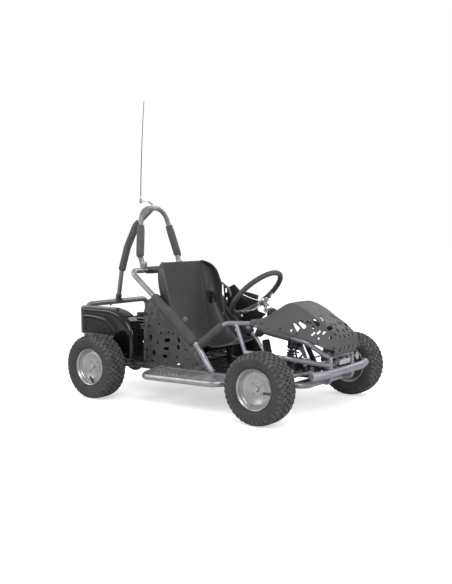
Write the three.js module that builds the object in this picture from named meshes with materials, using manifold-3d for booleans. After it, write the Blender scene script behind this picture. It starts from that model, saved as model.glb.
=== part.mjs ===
// An off road go kart for one: a tube frame with a roll bar, bucket seat, swing-arm front suspension,
// a rear engine that drives a live axle by chain, and four knobby tyres.
// Millimetres. X runs forward, Y to the driver's left, Z up. Stations along X are counted from the rear
// axle, and the whole kart is then moved so that its origin is under the middle of its length.

import * as THREE from 'three';
import { mergeVertices } from 'three/addons/utils/BufferGeometryUtils.js';
import Module from 'manifold-3d';

const wasm = await Module();
wasm.setup();

// Overall layout
const wheelbase = 1020;
const track = 870;
const frameHalfWidth = 250;
const railHeight = 158;
const tubeRadius = 14;
const gap = 0.3;
const overrun = 40;
const tubeSides = 8;
const bendStepDegrees = 40;

// Tyres and rims
const tyreRadius = 165;
const tyreWidth = 120;
const treadDepth = 8;
const lugLength = 30;
const lugWidth = 26;
const lugRoot = 3;
const shoulderDrop = 6;
const shoulderTiltDegrees = 14;
const lugCount = 12;
const tyreSegments = 24;
const rimWidth = 100;
const rimRadius = 94;
const beadRadius = 86;
const rimWall = 4;
const rimSegments = 16;
const hubRadius = 26;
const hubLength = 50;
const hubCapDepth = 12;
const capTop = 28;
const capShoulder = 14;
const boreEnd = 8;
const discShare = 0.7;
const capRadius = 13;
const capBevel = 1;
const rimStep = 1;
const spindleRadius = 8;
const axleRadius = 12.5;
const runningClearance = 0.6;

// Lower frame, behind the seat it climbs over the axle
const rearHoopX = -258;
const rearRailOverhang = 15;
const rearRailEndX = rearHoopX - rearRailOverhang;
const kickRise = 57;
const rearRailHeight = railHeight + kickRise;
const kickTopX = 45;
const kickLength = 52;
const kickFootX = kickTopX + kickLength;
const noseOverhang = 120;
const noseRailX = wheelbase + noseOverhang;
const frameBend = 55;
const engineTubeRadius = 11;
const engineTubeAhead = 15;
const engineTubeRearX = kickFootX + engineTubeAhead;
const enginePlateLength = 120;
const engineTubeFrontX = engineTubeRearX + enginePlateLength;
const enginePlateHalfWidth = 120;
const enginePlateThickness = 5;
const hangerThickness = 12;
const hangerBelow = 34;
const hangerTop = 48;
const hangerSlope = 8;
const hangerFoot = 28;
const enginePlateRise = 14.5;
const enginePlateTop = railHeight + enginePlateRise;
const collarRadius = 18;
const collarWidth = 12;
const bearingRadius = 28;
const bearingLength = 30;

// Rear hoop
const rearHoopRise = 241;
const rearHoopHeight = rearRailHeight + rearHoopRise;
const rearHoopRadius = 15;
const rearHoopBend = 45;

// Seat hoop, from the lower rail up the side, over behind the seat and down again
const frontKneeBehind = 320;
const frontKneeX = wheelbase - frontKneeBehind;
const frontBarRun = 174;
const veeX = frontKneeX - frontBarRun;
const footAhead = 95;
const footX = veeX + footAhead;
const veeHeight = 286;
const padTopX = 247;
const padTopHeight = 517;
const kneeX = 78;
const kneeHeight = 650;
const hoopBend = 42;
const strapHalfGap = 110;
const strapWidth = 30;
const strapThickness = 4;

// Front loop, from the side bars round under the hood's edge
const frontKneeHeight = 418;
const hoodRearBehind = 195;
const hoodRearX = wheelbase - hoodRearBehind;
const hoodRearHeight = 419;
const loopInset = 50;
const hoodHalfWidth = frameHalfWidth - loopInset;
const loopDropBehind = 120;
const loopDropX = wheelbase - loopDropBehind;
const loopDropHeight = 386;
const loopFrontAhead = 90;
const loopFrontX = wheelbase + loopFrontAhead;
const loopTaper = 12;
const loopFrontHalfWidth = hoodHalfWidth - loopTaper;
const loopFrontHeight = 351;
const noseAhead = 168;
const noseX = wheelbase + noseAhead;
const noseTaper = 82;
const noseHalfWidth = hoodHalfWidth - noseTaper;
const noseHeight = 279;
const frontTubeRadius = 11.5;
const strutRadius = 10;
const strutTopShare = 0.36;
const strutElbowBehind = 208;
const strutElbowX = wheelbase - strutElbowBehind;
const strutElbowHeight = 285;
const strutFootBehind = 154;
const strutFootX = wheelbase - strutFootBehind;
const dashShare = 0.8;
const dashX = frontKneeX + dashShare * (hoodRearX - frontKneeX);
const dashDrop = 13;
const dashHeight = frontKneeHeight - dashDrop;
const dashHalfWidth = frameHalfWidth - dashShare * loopInset;

// Roll bar
const rollFootHalfWidth = 150;
const rollShoulderHalfWidth = 92;
const rollLeanShare = 0.182;
const rollBend = 88;
const rollRadius = 13;
const rollFootRadius = 18;
const rollFootLength = 22;
const rollFootBehind = 7;
const rollFootX = kneeX - rollFootBehind;
const rollFootRise = 10;
const rollFootHeight = kneeHeight + rollFootRise;
const rollElbowHalfWidth = 155;
const rollElbowRise = 85;
const rollElbowHeight = kneeHeight + rollElbowRise;
const rollShoulderRise = 334;
const rollShoulderHeight = kneeHeight + rollShoulderRise;
const rearLegInset = 2;
const rearLegFootX = rearHoopX + rearLegInset;
const rearLegLift = 6;
const rearLegFootHeight = rearHoopHeight + rearLegLift;

// Foam sleeves
const sidePadRadius = 25;
const frontPadRadius = 24;
const padStartShare = 0.04;
const padEndShare = 0.93;
const padSlackShare = 0.002;
const frontPadStartShare = 0.1;
const frontPadEndShare = 0.83;
const rearPadInsetShare = 0.1;
const rollPadRadius = 21;
const rollPadRise = 7;
const rollPadBottomHeight = rollElbowHeight + rollPadRise;
const rollPadHeight = 147;
const rollPadTopHeight = rollPadBottomHeight + rollPadHeight;

// Antenna
const antennaBack = 88;
const antennaLift = 49;
const antennaTipBack = 59;
const antennaTipLift = 588;
const antennaBow = 9;
const antennaBend = 3000;
const bracketBend = 12;
const whipRadius = 2;
const bracketWidth = 20;
const bracketThickness = 3;
const antennaNutRadius = 8;
const antennaNutHeight = 26;

// Floor pan, running boards and pedals
const panRearX = 330;
const panFrontBehind = 80;
const panFrontX = wheelbase - panFrontBehind;
const panThickness = 3;
const panTubeInset = 15;
const panTubeRearX = panRearX + panTubeInset;
const panTubeFrontBehind = 320;
const panTubeFrontX = wheelbase - panTubeFrontBehind;
const seatPostHalfGap = 105;
const seatPostRadius = 11;
const boardRearX = 296;
const boardFrontBehind = 234;
const boardFrontX = wheelbase - boardFrontBehind;
const boardReach = 144;
const boardHalfWidth = frameHalfWidth + boardReach;
const boardTubeRadius = 11;
const boardThickness = 4;
const boardBend = 55;
const pedalBehind = 138;
const pedalX = wheelbase - pedalBehind;
const pedalHalfGap = 118;
const pedalRise = 34;
const pedalPivotHeight = railHeight + pedalRise;
const pedalLength = 112;
const pedalLeanDegrees = 14;
const pedalPadWidth = 62;
const pedalPadHeight = 74;
const pedalPlate = 4;
const pedalArmRadius = 5;
const pedalBushRadius = 9;
const pedalBushLength = 36;
const pedalPinRadius = 4;

// Front suspension and knuckles
const armPivotHalfGap = 70;
const armRise = 27;
const armHeight = tyreRadius + armRise;
const armHalfBase = 60;
const armRadius = 8;
const armBushRadius = 11;
const armBushLength = 22;
const armBoltRadius = 5;
const earThickness = 4;
const earWidth = 26;
const earClearance = 1;
const earInset = 3;
const boltHead = 4;
const pinSides = 6;
const armTieHalfLength = 48;
const footEarWidth = 22;
const kingpinInset = 90;
const kingpinHalfTrack = track / 2 - kingpinInset;
const kingpinRadius = 6;
const kingpinBossRadius = 13;
const kingpinBossHeight = 40;
const yokeThickness = 6;
const yokeWidth = 34;
const yokeReach = 20;
const knuckleArmLength = 60;
const knuckleArmWidth = 16;
const tieStudRadius = 4;
const tieEyeRadius = 10;
const tieEyeHeight = 10;
const tieRodRadius = 5;
const tieInnerHalfGap = 34;
const tieEndRadius = 8;
const studNutRadius = 7;
const shockAhead = 20;
const shockX = wheelbase + shockAhead;
const shockTopHalfGap = hoodHalfWidth;
const shockTopDrop = 25;
const shockTopHeight = loopFrontHeight - shockTopDrop;
const shockSplay = 12;
const shockFootHalfGap = shockTopHalfGap + shockSplay;
const shockFootRise = 22;
const shockFootHeight = armHeight + shockFootRise;
const shockEyeRadius = 10;
const shockEyeLength = 16;
const shockPinRadius = 4;
const shockBodyRadius = 11;
const shockBodyEnd = 61;
const shockBoreTop = 22;
const shockNeckRadius = 7;
const shockRodRadius = 5;
const shockRodInside = 14;
const springSeatRadius = 23;
const springSeatThickness = 4;
const springSeatInset = 14;
const springRadius = 19;
const springWireRadius = 2.6;
const springTurns = 5;
const springStepsPerTurn = 8;
const springSides = 5;
const springBendShare = 0.9;
const springNudge = 1e-3;

// Steering
const steerBehindDash = 94;
const steerX = dashX - steerBehindDash;
const steerAboveDash = 143;
const steerHeight = dashHeight + steerAboveDash;
const columnDegrees = 45;
const steerRingRadius = 150;
const steerGripRadius = 11.5;
const spiderDrop = 58;
const spiderHubRadius = 32;
const spiderThickness = 5;
const spokeWidth = 24;
const spokeElbowShare = 0.35;
const spokeRise = 3;
const spokeTurnShares = [0, 1 / 3, 2 / 3];
const gripSides = 8;
const ringSegments = 24;
const columnRadius = 9;
const columnFlangeRadius = 22;
const pitmanReach = 42;
const pitmanWidth = 18;
const pitmanHalfSpan = 22;
const pitmanThickness = 6;
const bearingBlockSize = 28;
const lowerBearingDistance = 352;
const pitmanDrop = 50;
const columnLength = lowerBearingDistance + pitmanDrop;
const lowerBearingRadius = 20;
const lowerBearingLength = 24;
const towerTubeRadius = 11;
const towerWebThickness = 8;
const towerWebReach = 140;
const webFootHalf = 15;
const webFootRise = 8;

// Seat shell and belt
const seatInset = 24;
const seatHalfWidth = frameHalfWidth - seatInset;
const seatThickness = 5;
const seatTopAhead = 136;
const seatTopX = kneeX + seatTopAhead;
const seatTopRise = 53;
const seatTopHeight = kneeHeight + seatTopRise;
const seatLength = 375;
const seatDepth = 458;
const strapReach = 12;
const strapFrontX = seatTopX + strapReach;
const seatPostAhead = 241;
const seatPostX = seatTopX + seatPostAhead;
const seatPostSink = 1;
const seatPostTop = seatTopHeight - seatDepth + seatPostSink;
const seatWing = 92;
const seatColumns = 12;
const seatRows = 14;
const beltThickness = 4;
const beltLift = 1;
const beltColumns = 12;
const beltSpanShare = 0.8;
const beltRearShare = 0.7;
const beltFrontShare = 0.77;
const buckleSize = 52;
const buckleThickness = 14;

// Side panels and hood
const panelRearX = 170;
const panelThickness = 3;
const hoodStartBehind = 208;
const hoodStartX = wheelbase - hoodStartBehind;
const hoodLength = 420;
const hoodBaseRise = 18;
const hoodBaseHeight = hoodRearHeight + hoodBaseRise;
const hoodCrownRise = 80;
const hoodThickness = 3.5;
const hoodColumns = 8;
const hoodSlotSpreadShare = 0.8;
const slotSinkShare = 0.4;
const notchClearance = 9;

// Bumper
const bumperRise = 51;
const bumperHeight = railHeight + bumperRise;
const bumperRadius = 17;
const bumperFrontAhead = 196;
const bumperFrontX = wheelbase + bumperFrontAhead;
const bumperSweep = 32;
const bumperEndX = bumperFrontX - bumperSweep;
const bumperHalfWidth = 273;
const bumperBend = 110;
const uprightInset = 13;
const uprightHalfGap = noseHalfWidth - uprightInset;
const uprightAhead = 174;
const uprightX = wheelbase + uprightAhead;
const uprightRadius = 10;
const bumperShoulderHalfWidth = 170;
const uprightTop = noseHeight;
const uprightBend = 20;
const stayRadius = 11;
const stayKneeAhead = 30;
const stayKneeX = wheelbase + stayKneeAhead;
const stayFall = 8;
const stayHeight = strutElbowHeight - stayFall;
const stayTurn = 14;
const stayNoseX = uprightX - stayTurn;
const staySplay = 7;
const stayNoseHalfWidth = uprightHalfGap + staySplay;
const stayLift = 31;
const stayNoseHeight = bumperHeight + stayLift;

// Rear cowls
const cowlOutset = 83;
const cowlOuter = track / 2 - cowlOutset;
const cowlWall = 3;
const cowlRecess = 7;
const cowlFlange = 20;
const cowlOverhang = 14;
const cowlRearX = rearHoopX - cowlOverhang;
const cowlDrop = 1;
const cowlTop = rearHoopHeight - cowlDrop;
const cowlLength = 446;
const cowlHeight = 262;

// Engine, mounted on its plate behind the seat
const crankAhead = 8;
const crankX = engineTubeRearX + crankAhead;
const crankRise = 72.5;
const crankHeight = enginePlateTop + crankRise;
const crankcaseLength = 124;
const crankcaseHeight = 128;
const crankcaseBottom = enginePlateTop + gap;
const crankcaseRight = -84;
const crankcaseLeft = 70;
const crankRadius = 8;
const finCount = 5;
const finSize = 88;
const finThickness = 4;
const finPitch = 9;
const cylinderSize = 72;
const cylinderLeanDegrees = 65;
const cylinderLength = 122;
const finStart = 74;
const starterRadius = 62;
const starterDepth = 38;
const starterSegments = 16;
const starterCapDepth = 8;
const starterCapShare = 0.55;
const tankPostHalfGap = 40;
const rollerGuide = 14;
const filterLength = 74;
const filterDepth = 50;
const filterDrop = 2;
const filterHeight = crankHeight - filterDrop;
const filterTall = 54;
const filterBehind = 103;
const filterX = crankX - filterBehind;
const tankBehind = 162;
const tankRearX = crankX - tankBehind;
const tankLength = 190;
const tankRight = -132;
const tankWidth = 196;
const tankRise = 93;
const tankBottom = crankHeight + tankRise;
const tankHeight = 60;
const tankCorner = 26;
const tankSeam = 4;
const fillerAhead = 42;
const fillerX = tankRearX + fillerAhead;
const fillerInset = 47;
const fillerY = tankRight + fillerInset;
const fillerHeight = 8;
const fillerRadius = 16;
const fuelCapRadius = 25;
const fuelCapHeight = 17;
const mufflerBehind = 270;
const mufflerRearX = crankX - mufflerBehind;
const mufflerLength = 118;
const mufflerHalfWidth = 58;
const mufflerRise = 7;
const mufflerBottom = crankHeight + mufflerRise;
const mufflerHeight = 66;
const mufflerCorner = 18;
const exhaustRadius = 12;
const exhaustLength = 48;
const tailRadius = 9;
const tailLength = 34;
const handleLength = 52;
const handleRadius = 8;
const handleStem = 14;

// Chain drive and brake
const chainOffset = 57;
const chainY = crankcaseRight - chainOffset;
const chainWidth = 8;
const chainHeight = 8;
const chainClearance = 1.4;
const axleSprocketRadius = 57;
const clutchSprocketRadius = 21;
const sprocketThickness = 4;
const sprocketHub = 24;
const sprocketHubLength = 28;
const toothDepth = 4;
const axleTeeth = 30;
const clutchTeeth = 11;
const clutchDrumRadius = 38;
const clutchDrumLength = 34;
const clutchDrumGap = 5;
const chainSteps = 6;
const brakeY = 140;
const brakeDiscRadius = 56;
const brakeDiscThickness = 4;
const caliperLength = 52;
const caliperWidth = 34;
const caliperHeight = 38;
const caliperInset = 9;

// Meshing
const weldDistance = 1e-3;
const circleSegments = 10;

// Outlines, as shares of the sizes beside them
// Seat centreline: shares of the seat's length forward of its top and of its depth below it
const seatLineShares = [
  [0, 0], [0.06, 0.28], [0.16, 0.56], [0.31, 0.83], [0.52, 1], [0.78, 0.985], [1, 0.89],
];
// Seat: share of the way along the centreline, half-width share, wing share
const seatSectionShares = [
  [0, 0.74, 0.12], [0.07, 0.93, 0.42], [0.167, 1.02, 0.74], [0.26, 0.975, 0.6], [0.333, 0.97, 0.5],
  [0.5, 0.97, 0.85],
  [0.667, 0.96, 1.05], [0.833, 0.94, 0.85], [1, 0.85, 0.4],
];
const seatRollShare = 1.3;
// Hood stations: share of the length, half-width, edge rise, crown half-width and crown rise
const hoodStationShares = [
  [0, 1.015, 0, 0.42, 0.16], [0.162, 1, -0.35, 0.46, 0.64], [0.329, 0.995, -0.52, 0.49, 0.975],
  [0.448, 0.99, -0.62, 0.495, 0.925], [0.59, 0.975, -0.76, 0.495, 0.61], [0.733, 0.92, -0.94, 0.485, 0.13],
  [0.876, 0.78, -1.3, 0.475, -0.32], [1, 0.6, -1.65, 0.46, -1.02], [0.962, 0.53, -2.02, 0.44, -2.19],
];
const hoodCrownShare = 0.03;
// Hood slots: place along the hood and across it, length and width, as shares, and degrees of turn
const hoodSlotShares = [
  [0.5, -0.62, 0.09, 0.11, 20], [0.5, -0.36, 0.1, 0.12, 12], [0.5, 0.36, 0.1, 0.12, -12],
  [0.5, 0.62, 0.09, 0.11, -20],
  [0.6, -0.2, 0.11, 0.13, 6], [0.6, 0.2, 0.11, 0.13, -6], [0.62, -0.5, 0.08, 0.11, 18],
  [0.62, 0.5, 0.08, 0.11, -18],
  [0.73, -0.34, 0.07, 0.12, 14], [0.73, 0, 0.08, 0.14, 0], [0.73, 0.34, 0.07, 0.12, -14],
  [0.84, -0.22, 0.05, 0.08, 8], [0.84, 0.22, 0.05, 0.08, -8], [0.93, 0, 0.04, 0.08, 0],
];
// Side panel: outline between the rear edge and the seat hoop, as shares of its length and height
const panelEdgeShares = [[0, 0], [0, 0.83], [0.045, 0.94]];
// Side panel slots: place along it and up it, length and height shares, and degrees of turn
const panelSlotShares = [
  [0.1, 0.78, 0.03, 0.1, 0], [0.1, 0.52, 0.05, 0.05, 10], [0.2, 0.62, 0.05, 0.05, 20],
  [0.3, 0.6, 0.05, 0.05, 20],
  [0.12, 0.3, 0.05, 0.06, 0], [0.28, 0.42, 0.08, 0.05, 14], [0.27, 0.27, 0.08, 0.05, 8],
  [0.28, 0.12, 0.07, 0.05, 0],
  [0.43, 0.42, 0.06, 0.06, 30], [0.44, 0.27, 0.06, 0.06, 30], [0.43, 0.12, 0.05, 0.05, 0],
  [0.56, 0.25, 0.05, 0.06, 30],
  [0.58, 0.1, 0.05, 0.05, 20], [0.72, 0.12, 0.05, 0.05, 40],
];
// Rear cowl seen from the side, as shares of its length and of its height below the top
const cowlArchShares = [
  [0, 0.62], [0, 0.06], [0.025, 0], [0.7, 0], [0.82, 0.045], [0.9, 0.13], [0.955, 0.26], [0.985, 0.42],
  [0.985, 0.6],
  [0.965, 0.8], [0.9, 1],
];
const cowlFootShares = [[0.8, 1], [0.735, 0.8], [0.61, 0.64], [0.4, 0.57], [0.2, 0.59]];
const cowlPanelShares = [
  [0.24, 0.15], [0.475, 0.19], [0.555, 0.26], [0.61, 0.36], [0.63, 0.47], [0.58, 0.52], [0.4, 0.46],
  [0.24, 0.49],
];

// Roll bar's rear leg: shares of the way from its foot to the shoulder, ahead and up
const rearLegShares = [[0.112, 0.3295], [0.28, 0.5843], [0.5261, 0.8123]];
// Antenna bracket: shares of the antenna's distance behind the shoulder and of its lift above it
const bracketShares = [[0.057, -0.061], [0.307, 0.388], [0.602, 0.673], [1, 1]];

// Tyre profile, outboard half: shares of the way from the bead to the tread and of the half width
const tyreOuterShares = [[0, 0.722], [0.14, 0.755], [0.3, 0.96], [0.6, 1], [0.86, 0.92], [1, 0.62]];
const tyreInnerShares = [[0.05, 0.5], [0.84, 0.62]];
// Web under the steering column: shares of its reach forward of and above the lower bearing
const towerWebRearShares = [[0.025, 0.116], [0.116, 0.025], [0.217, 0.126]];
const towerWebFrontShares = [[0.343, 0.257], [0.156, 0.248]];
// Caliper arm: shares of the distance from the axle to the tube that it rests on
const caliperArmShares = [[0.18, 0.18], [0.4, 0.42], [1.09, 0.06], [1.09, -0.14], [0.93, -0.14]];

const degrees = Math.PI / 180;
const vec = (x, y, z) => new THREE.Vector3(x, y, z);
const flat = (x, y) => new THREE.Vector2(x, y);
const mix = THREE.MathUtils.lerp;
const axleHeight = tyreRadius;

// A line known by its stations and its heading at each, so that straight lengths take a single step
class StationLine extends THREE.Curve {
  constructor(places, headings) {
    super();
    this.places = places;
    this.headings = headings;
  }

  getPointAt(u, target = new THREE.Vector3()) {
    return target.copy(this.places[Math.round(u * (this.places.length - 1))]);
  }

  getTangentAt(u, target = new THREE.Vector3()) {
    return target.copy(this.headings[Math.round(u * (this.headings.length - 1))]);
  }
}

// A line whose inner corners are bent to fillet arcs, as a tube bender leaves a tube
function bentLine(corners, bend) {
  const last = corners.length - 1;
  const places = [corners[0].clone()];
  const headings = [corners[1].clone().sub(corners[0]).normalize()];
  for (let i = 1; i < last; i += 1) {
    const before = corners[i].clone().sub(corners[i - 1]);
    const after = corners[i + 1].clone().sub(corners[i]);
    const room = Math.min(before.length(), after.length()) / 2;
    const heading = before.clone().normalize();
    const turn = heading.angleTo(after);
    const reach = Math.min(bend * Math.tan(turn / 2), room);
    const axis = heading.clone().cross(after).normalize();
    const inward = axis.clone().cross(heading).multiplyScalar(reach / Math.tan(turn / 2));
    const centre = corners[i].clone().addScaledVector(heading, -reach).add(inward);
    const steps = Math.max(1, Math.round(turn / (bendStepDegrees * degrees)));
    for (let k = 0; k <= steps; k += 1) {
      const angle = turn * k / steps;
      places.push(centre.clone().sub(inward.clone().applyAxisAngle(axis, angle)));
      headings.push(heading.clone().applyAxisAngle(axis, angle));
    }
  }
  places.push(corners[last].clone());
  headings.push(corners[last].clone().sub(corners[last - 1]).normalize());
  return new StationLine(places, headings);
}

// Closed geometry to a solid for joining and cutting, and back
function solid(geometry) {
  const bare = new THREE.BufferGeometry();
  bare.setAttribute('position', geometry.getAttribute('position'));
  bare.setIndex(geometry.getIndex());
  const merged = mergeVertices(bare, weldDistance);
  const index = merged.getIndex().array;
  const faces = [];
  for (let i = 0; i < index.length; i += 3) {
    const [a, b, c] = [index[i], index[i + 1], index[i + 2]];
    if (a !== b && b !== c && c !== a) faces.push(a, b, c);
  }
  const vertProperties = Float32Array.from(merged.getAttribute('position').array);
  const made = (order) => {
    const triVerts = Uint32Array.from(order);
    return new wasm.Manifold(new wasm.Mesh({ numProp: 3, vertProperties, triVerts }));
  };
  const piece = made(faces);
  return piece.volume() > 0 ? piece : made(faces.reverse());
}

function surface(piece) {
  const mesh = piece.getMesh();
  const geometry = new THREE.BufferGeometry();
  geometry.setAttribute('position', new THREE.BufferAttribute(Float32Array.from(mesh.vertProperties), 3));
  geometry.setIndex(new THREE.BufferAttribute(Uint32Array.from(mesh.triVerts), 1));
  geometry.computeVertexNormals();
  return geometry;
}

const weld = (...pieces) => pieces.flat().reduce((sum, piece) => sum.add(piece));
const cut = (piece, ...cutters) => cutters.flat().reduce((rest, cutter) => rest.subtract(cutter), piece);

function moved(piece, matrix) {
  return solid(surface(piece).applyMatrix4(matrix));
}

// The other side's copy of a piece, reflected in the kart's middle plane
const mirrored = (piece) => moved(piece, new THREE.Matrix4().makeScale(1, -1, 1));
const onSide = (side, piece) => (side > 0 ? piece : mirrored(piece));
const onBothSides = (piece) => [piece, mirrored(piece)];

function polygon(radius, sides) {
  return Array.from({ length: sides }, (_, i) => {
    const angle = (i + 0.5) / sides * 2 * Math.PI;
    return flat(radius * Math.cos(angle), radius * Math.sin(angle));
  });
}

function swept(line, spots, bore = []) {
  const section = new THREE.Shape(spots);
  if (bore.length) section.holes.push(new THREE.Path(bore));
  return solid(new THREE.ExtrudeGeometry(section, { steps: line.places.length - 1, extrudePath: line }));
}

// A round tube along its corners. Grown by a gap, it cuts the seat of the pieces that meet it.
const tube = (run, grow = 0) => swept(
  bentLine(run.corners, run.bend ?? frameBend), polygon(run.radius + grow, tubeSides),
);

// A foam sleeve along its corners, hollowed by the run of tube inside it
function wrap(corners, radius, run) {
  const foamLine = bentLine(corners, run.bend ?? frameBend);
  return cut(swept(foamLine, polygon(radius, circleSegments)), tube(run, gap));
}

// A flat strip along its corners, its width across the plane that they lie in
function strip(corners, width, thickness, bend) {
  const [w, t] = [width / 2, thickness / 2];
  return swept(bentLine(corners, bend), [flat(-w, -t), flat(w, -t), flat(w, t), flat(-w, t)]);
}

function rod(from, to, radius, segments = circleSegments) {
  const reach = to.clone().sub(from);
  const geometry = new THREE.CylinderGeometry(radius, radius, reach.length(), segments);
  geometry.rotateY(Math.PI / segments);
  geometry.applyQuaternion(new THREE.Quaternion().setFromUnitVectors(vec(0, 1, 0), reach.normalize()));
  const middle = from.clone().add(to).multiplyScalar(0.5);
  return solid(geometry.translate(middle.x, middle.y, middle.z));
}

// A block from its middle and its size
function block(middle, size) {
  return solid(new THREE.BoxGeometry(size.x, size.y, size.z).translate(middle.x, middle.y, middle.z));
}

// A plate with its outline in X and Z, between two values of Y, and one with its outline in X and Y
function sidePlate(spots, nearY, farY) {
  const outline = new THREE.Shape(spots.map(([x, z]) => flat(x, z)));
  const geometry = new THREE.ExtrudeGeometry(outline, { depth: Math.abs(farY - nearY), bevelEnabled: false });
  return solid(geometry.rotateX(Math.PI / 2).translate(0, Math.max(nearY, farY), 0));
}

function floorPlate(spots, bottom, thickness) {
  const outline = new THREE.Shape(spots.map(([x, y]) => flat(x, y)));
  const geometry = new THREE.ExtrudeGeometry(outline, { depth: thickness, bevelEnabled: false });
  return solid(geometry.translate(0, 0, bottom));
}

// A turned piece about Y, from its radius and Y at each point of a profile that closes, or ends on the axis
function turned(profile, segments = circleSegments) {
  const spots = profile.map(([radius, y]) => flat(radius, y));
  if (spots[0].x > 0) spots.push(spots[0].clone());
  return solid(new THREE.LatheGeometry(spots, segments).rotateY(Math.PI / segments));
}

// A closed sheet along a surface given by two parameters, across from -1 to 1 and along from 0 to 1
function sheet(pointAt, columns, rows, above, below) {
  const step = 1e-3;
  const layers = [[], []];
  for (let i = 0; i <= columns; i += 1) {
    for (let j = 0; j <= rows; j += 1) {
      const [u, t] = [2 * i / columns - 1, j / rows];
      const place = pointAt(u, t);
      const across = pointAt(Math.min(u + step, 1), t).sub(pointAt(Math.max(u - step, -1), t));
      const along = pointAt(u, Math.min(t + step, 1)).sub(pointAt(u, Math.max(t - step, 0)));
      const normal = along.cross(across).normalize();
      layers[0].push(place.clone().addScaledVector(normal, above));
      layers[1].push(place.clone().addScaledVector(normal, -below));
    }
  }
  const at = (i, j, layer) => layer * layers[0].length + i * (rows + 1) + j;
  const faces = [];
  for (let i = 0; i < columns; i += 1) {
    for (let j = 0; j < rows; j += 1) {
      const [a, b, c, d] = [[i, j], [i, j + 1], [i + 1, j + 1], [i + 1, j]];
      faces.push(at(...a, 0), at(...b, 0), at(...c, 0), at(...a, 0), at(...c, 0), at(...d, 0));
      faces.push(at(...a, 1), at(...c, 1), at(...b, 1), at(...a, 1), at(...d, 1), at(...c, 1));
    }
  }
  const rim = [];
  for (let i = 0; i < columns; i += 1) rim.push([i, 0]);
  for (let j = 0; j < rows; j += 1) rim.push([columns, j]);
  for (let i = columns; i > 0; i -= 1) rim.push([i, rows]);
  for (let j = rows; j > 0; j -= 1) rim.push([0, j]);
  rim.forEach((a, k) => {
    const b = rim[(k + 1) % rim.length];
    faces.push(at(...a, 0), at(...b, 0), at(...b, 1), at(...a, 0), at(...b, 1), at(...a, 1));
  });
  const geometry = new THREE.BufferGeometry().setFromPoints(layers.flat());
  geometry.setIndex(faces);
  return solid(geometry);
}

// Straight-line reading of a table of rows at a share of the way along it
function tableAt(rows, share) {
  const next = Math.max(1, rows.findIndex((row) => row[0] >= share));
  const [low, high] = [rows[next - 1], rows[next]];
  const part = (share - low[0]) / (high[0] - low[0]);
  return low.map((value, k) => mix(value, high[k], part));
}

// The outline moved inward by a wall
function inset(spots, wall) {
  const points = spots.map(([x, z]) => flat(x, z));
  const turn = Math.sign(THREE.ShapeUtils.area(points));
  return points.map((point, i) => {
    const before = point.clone().sub(points.at(i - 1)).normalize();
    const after = points[(i + 1) % points.length].clone().sub(point).normalize();
    const bisector = flat(-before.y - after.y, before.x + after.x).multiplyScalar(turn).normalize();
    const slope = bisector.dot(flat(-after.y, after.x).multiplyScalar(turn));
    const spot = point.clone().addScaledVector(bisector, wall / slope);
    return [spot.x, spot.y];
  });
}

// Finishes
const steelGrey = () => finish(0x8f8d96, 0.38, 0.75);
const darkTube = () => finish(0x54545a, 0.45, 0.5);
const foam = () => finish(0x4a4a4b, 0.9, 0);
const darkPlastic = () => finish(0x3f3f41, 0.62, 0);
const glossBlack = () => finish(0x101012, 0.12, 0.1);
const blackSteel = () => finish(0x1b1b1d, 0.5, 0.4);
const rubber = () => finish(0x3a3a3b, 0.92, 0);
const silver = () => finish(0xb4b4b4, 0.35, 0.8);
const chrome = () => finish(0xdadada, 0.12, 1);
const castMetal = () => finish(0x2a2a2c, 0.6, 0.5);

function finish(color, roughness, metalness) {
  return new THREE.MeshStandardMaterial({ color, roughness, metalness });
}

const kart = new THREE.Group();

function add(name, piece, material, parent = kart, place = vec(0, 0, 0)) {
  const mesh = new THREE.Mesh(surface(piece), material);
  mesh.name = name;
  mesh.position.copy(place);
  parent.add(mesh);
  return mesh;
}

const sides = [['right', -1], ['left', 1]];

// Where each run of tube goes, with its radius and its bend
const atSide = (x, z) => vec(x, frameHalfWidth, z);
const roundBoth = (corners) => [...corners, ...corners.map((spot) => vec(spot.x, -spot.y, spot.z)).reverse()];
const across = (x, z, halfWidth, radius) => (
  { corners: [vec(x, -halfWidth, z), vec(x, halfWidth, z)], radius }
);
const railRun = {
  corners: [
    atSide(rearRailEndX, rearRailHeight), atSide(kickTopX, rearRailHeight), atSide(kickFootX, railHeight),
    atSide(noseRailX, railHeight), vec(noseRailX, 0, railHeight),
  ],
  radius: tubeRadius,
};
const rearCrossRun = across(rearHoopX, rearRailHeight, frameHalfWidth, tubeRadius);
const engineRuns = [engineTubeRearX, engineTubeFrontX].map(
  (x) => across(x, railHeight, frameHalfWidth, engineTubeRadius),
);
const rearHoopRun = {
  corners: roundBoth([atSide(rearHoopX, rearRailHeight), atSide(rearHoopX, rearHoopHeight)]),
  radius: rearHoopRadius,
  bend: rearHoopBend,
};
const sideRun = {
  corners: roundBoth([
    atSide(footX, railHeight), atSide(veeX, veeHeight), atSide(padTopX, padTopHeight),
    atSide(kneeX, kneeHeight),
  ]),
  radius: tubeRadius,
  bend: hoopBend,
};
const loopRun = {
  corners: roundBoth([
    atSide(veeX, veeHeight), atSide(frontKneeX, frontKneeHeight),
    vec(hoodRearX, hoodHalfWidth, hoodRearHeight),
    vec(loopDropX, hoodHalfWidth, loopDropHeight), vec(loopFrontX, loopFrontHalfWidth, loopFrontHeight),
    vec(noseX, noseHalfWidth, noseHeight),
  ]),
  radius: frontTubeRadius,
};
const strutRun = {
  corners: [
    atSide(frontKneeX, frontKneeHeight).lerp(vec(hoodRearX, hoodHalfWidth, hoodRearHeight), strutTopShare),
    atSide(strutElbowX, strutElbowHeight), atSide(strutFootX, railHeight),
  ],
  radius: strutRadius,
  bend: hoopBend,
};
const dashRun = across(dashX, dashHeight, dashHalfWidth, strutRadius);
const leanX = (height) => rollFootX - rollLeanShare * (height - rollFootHeight);
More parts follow.
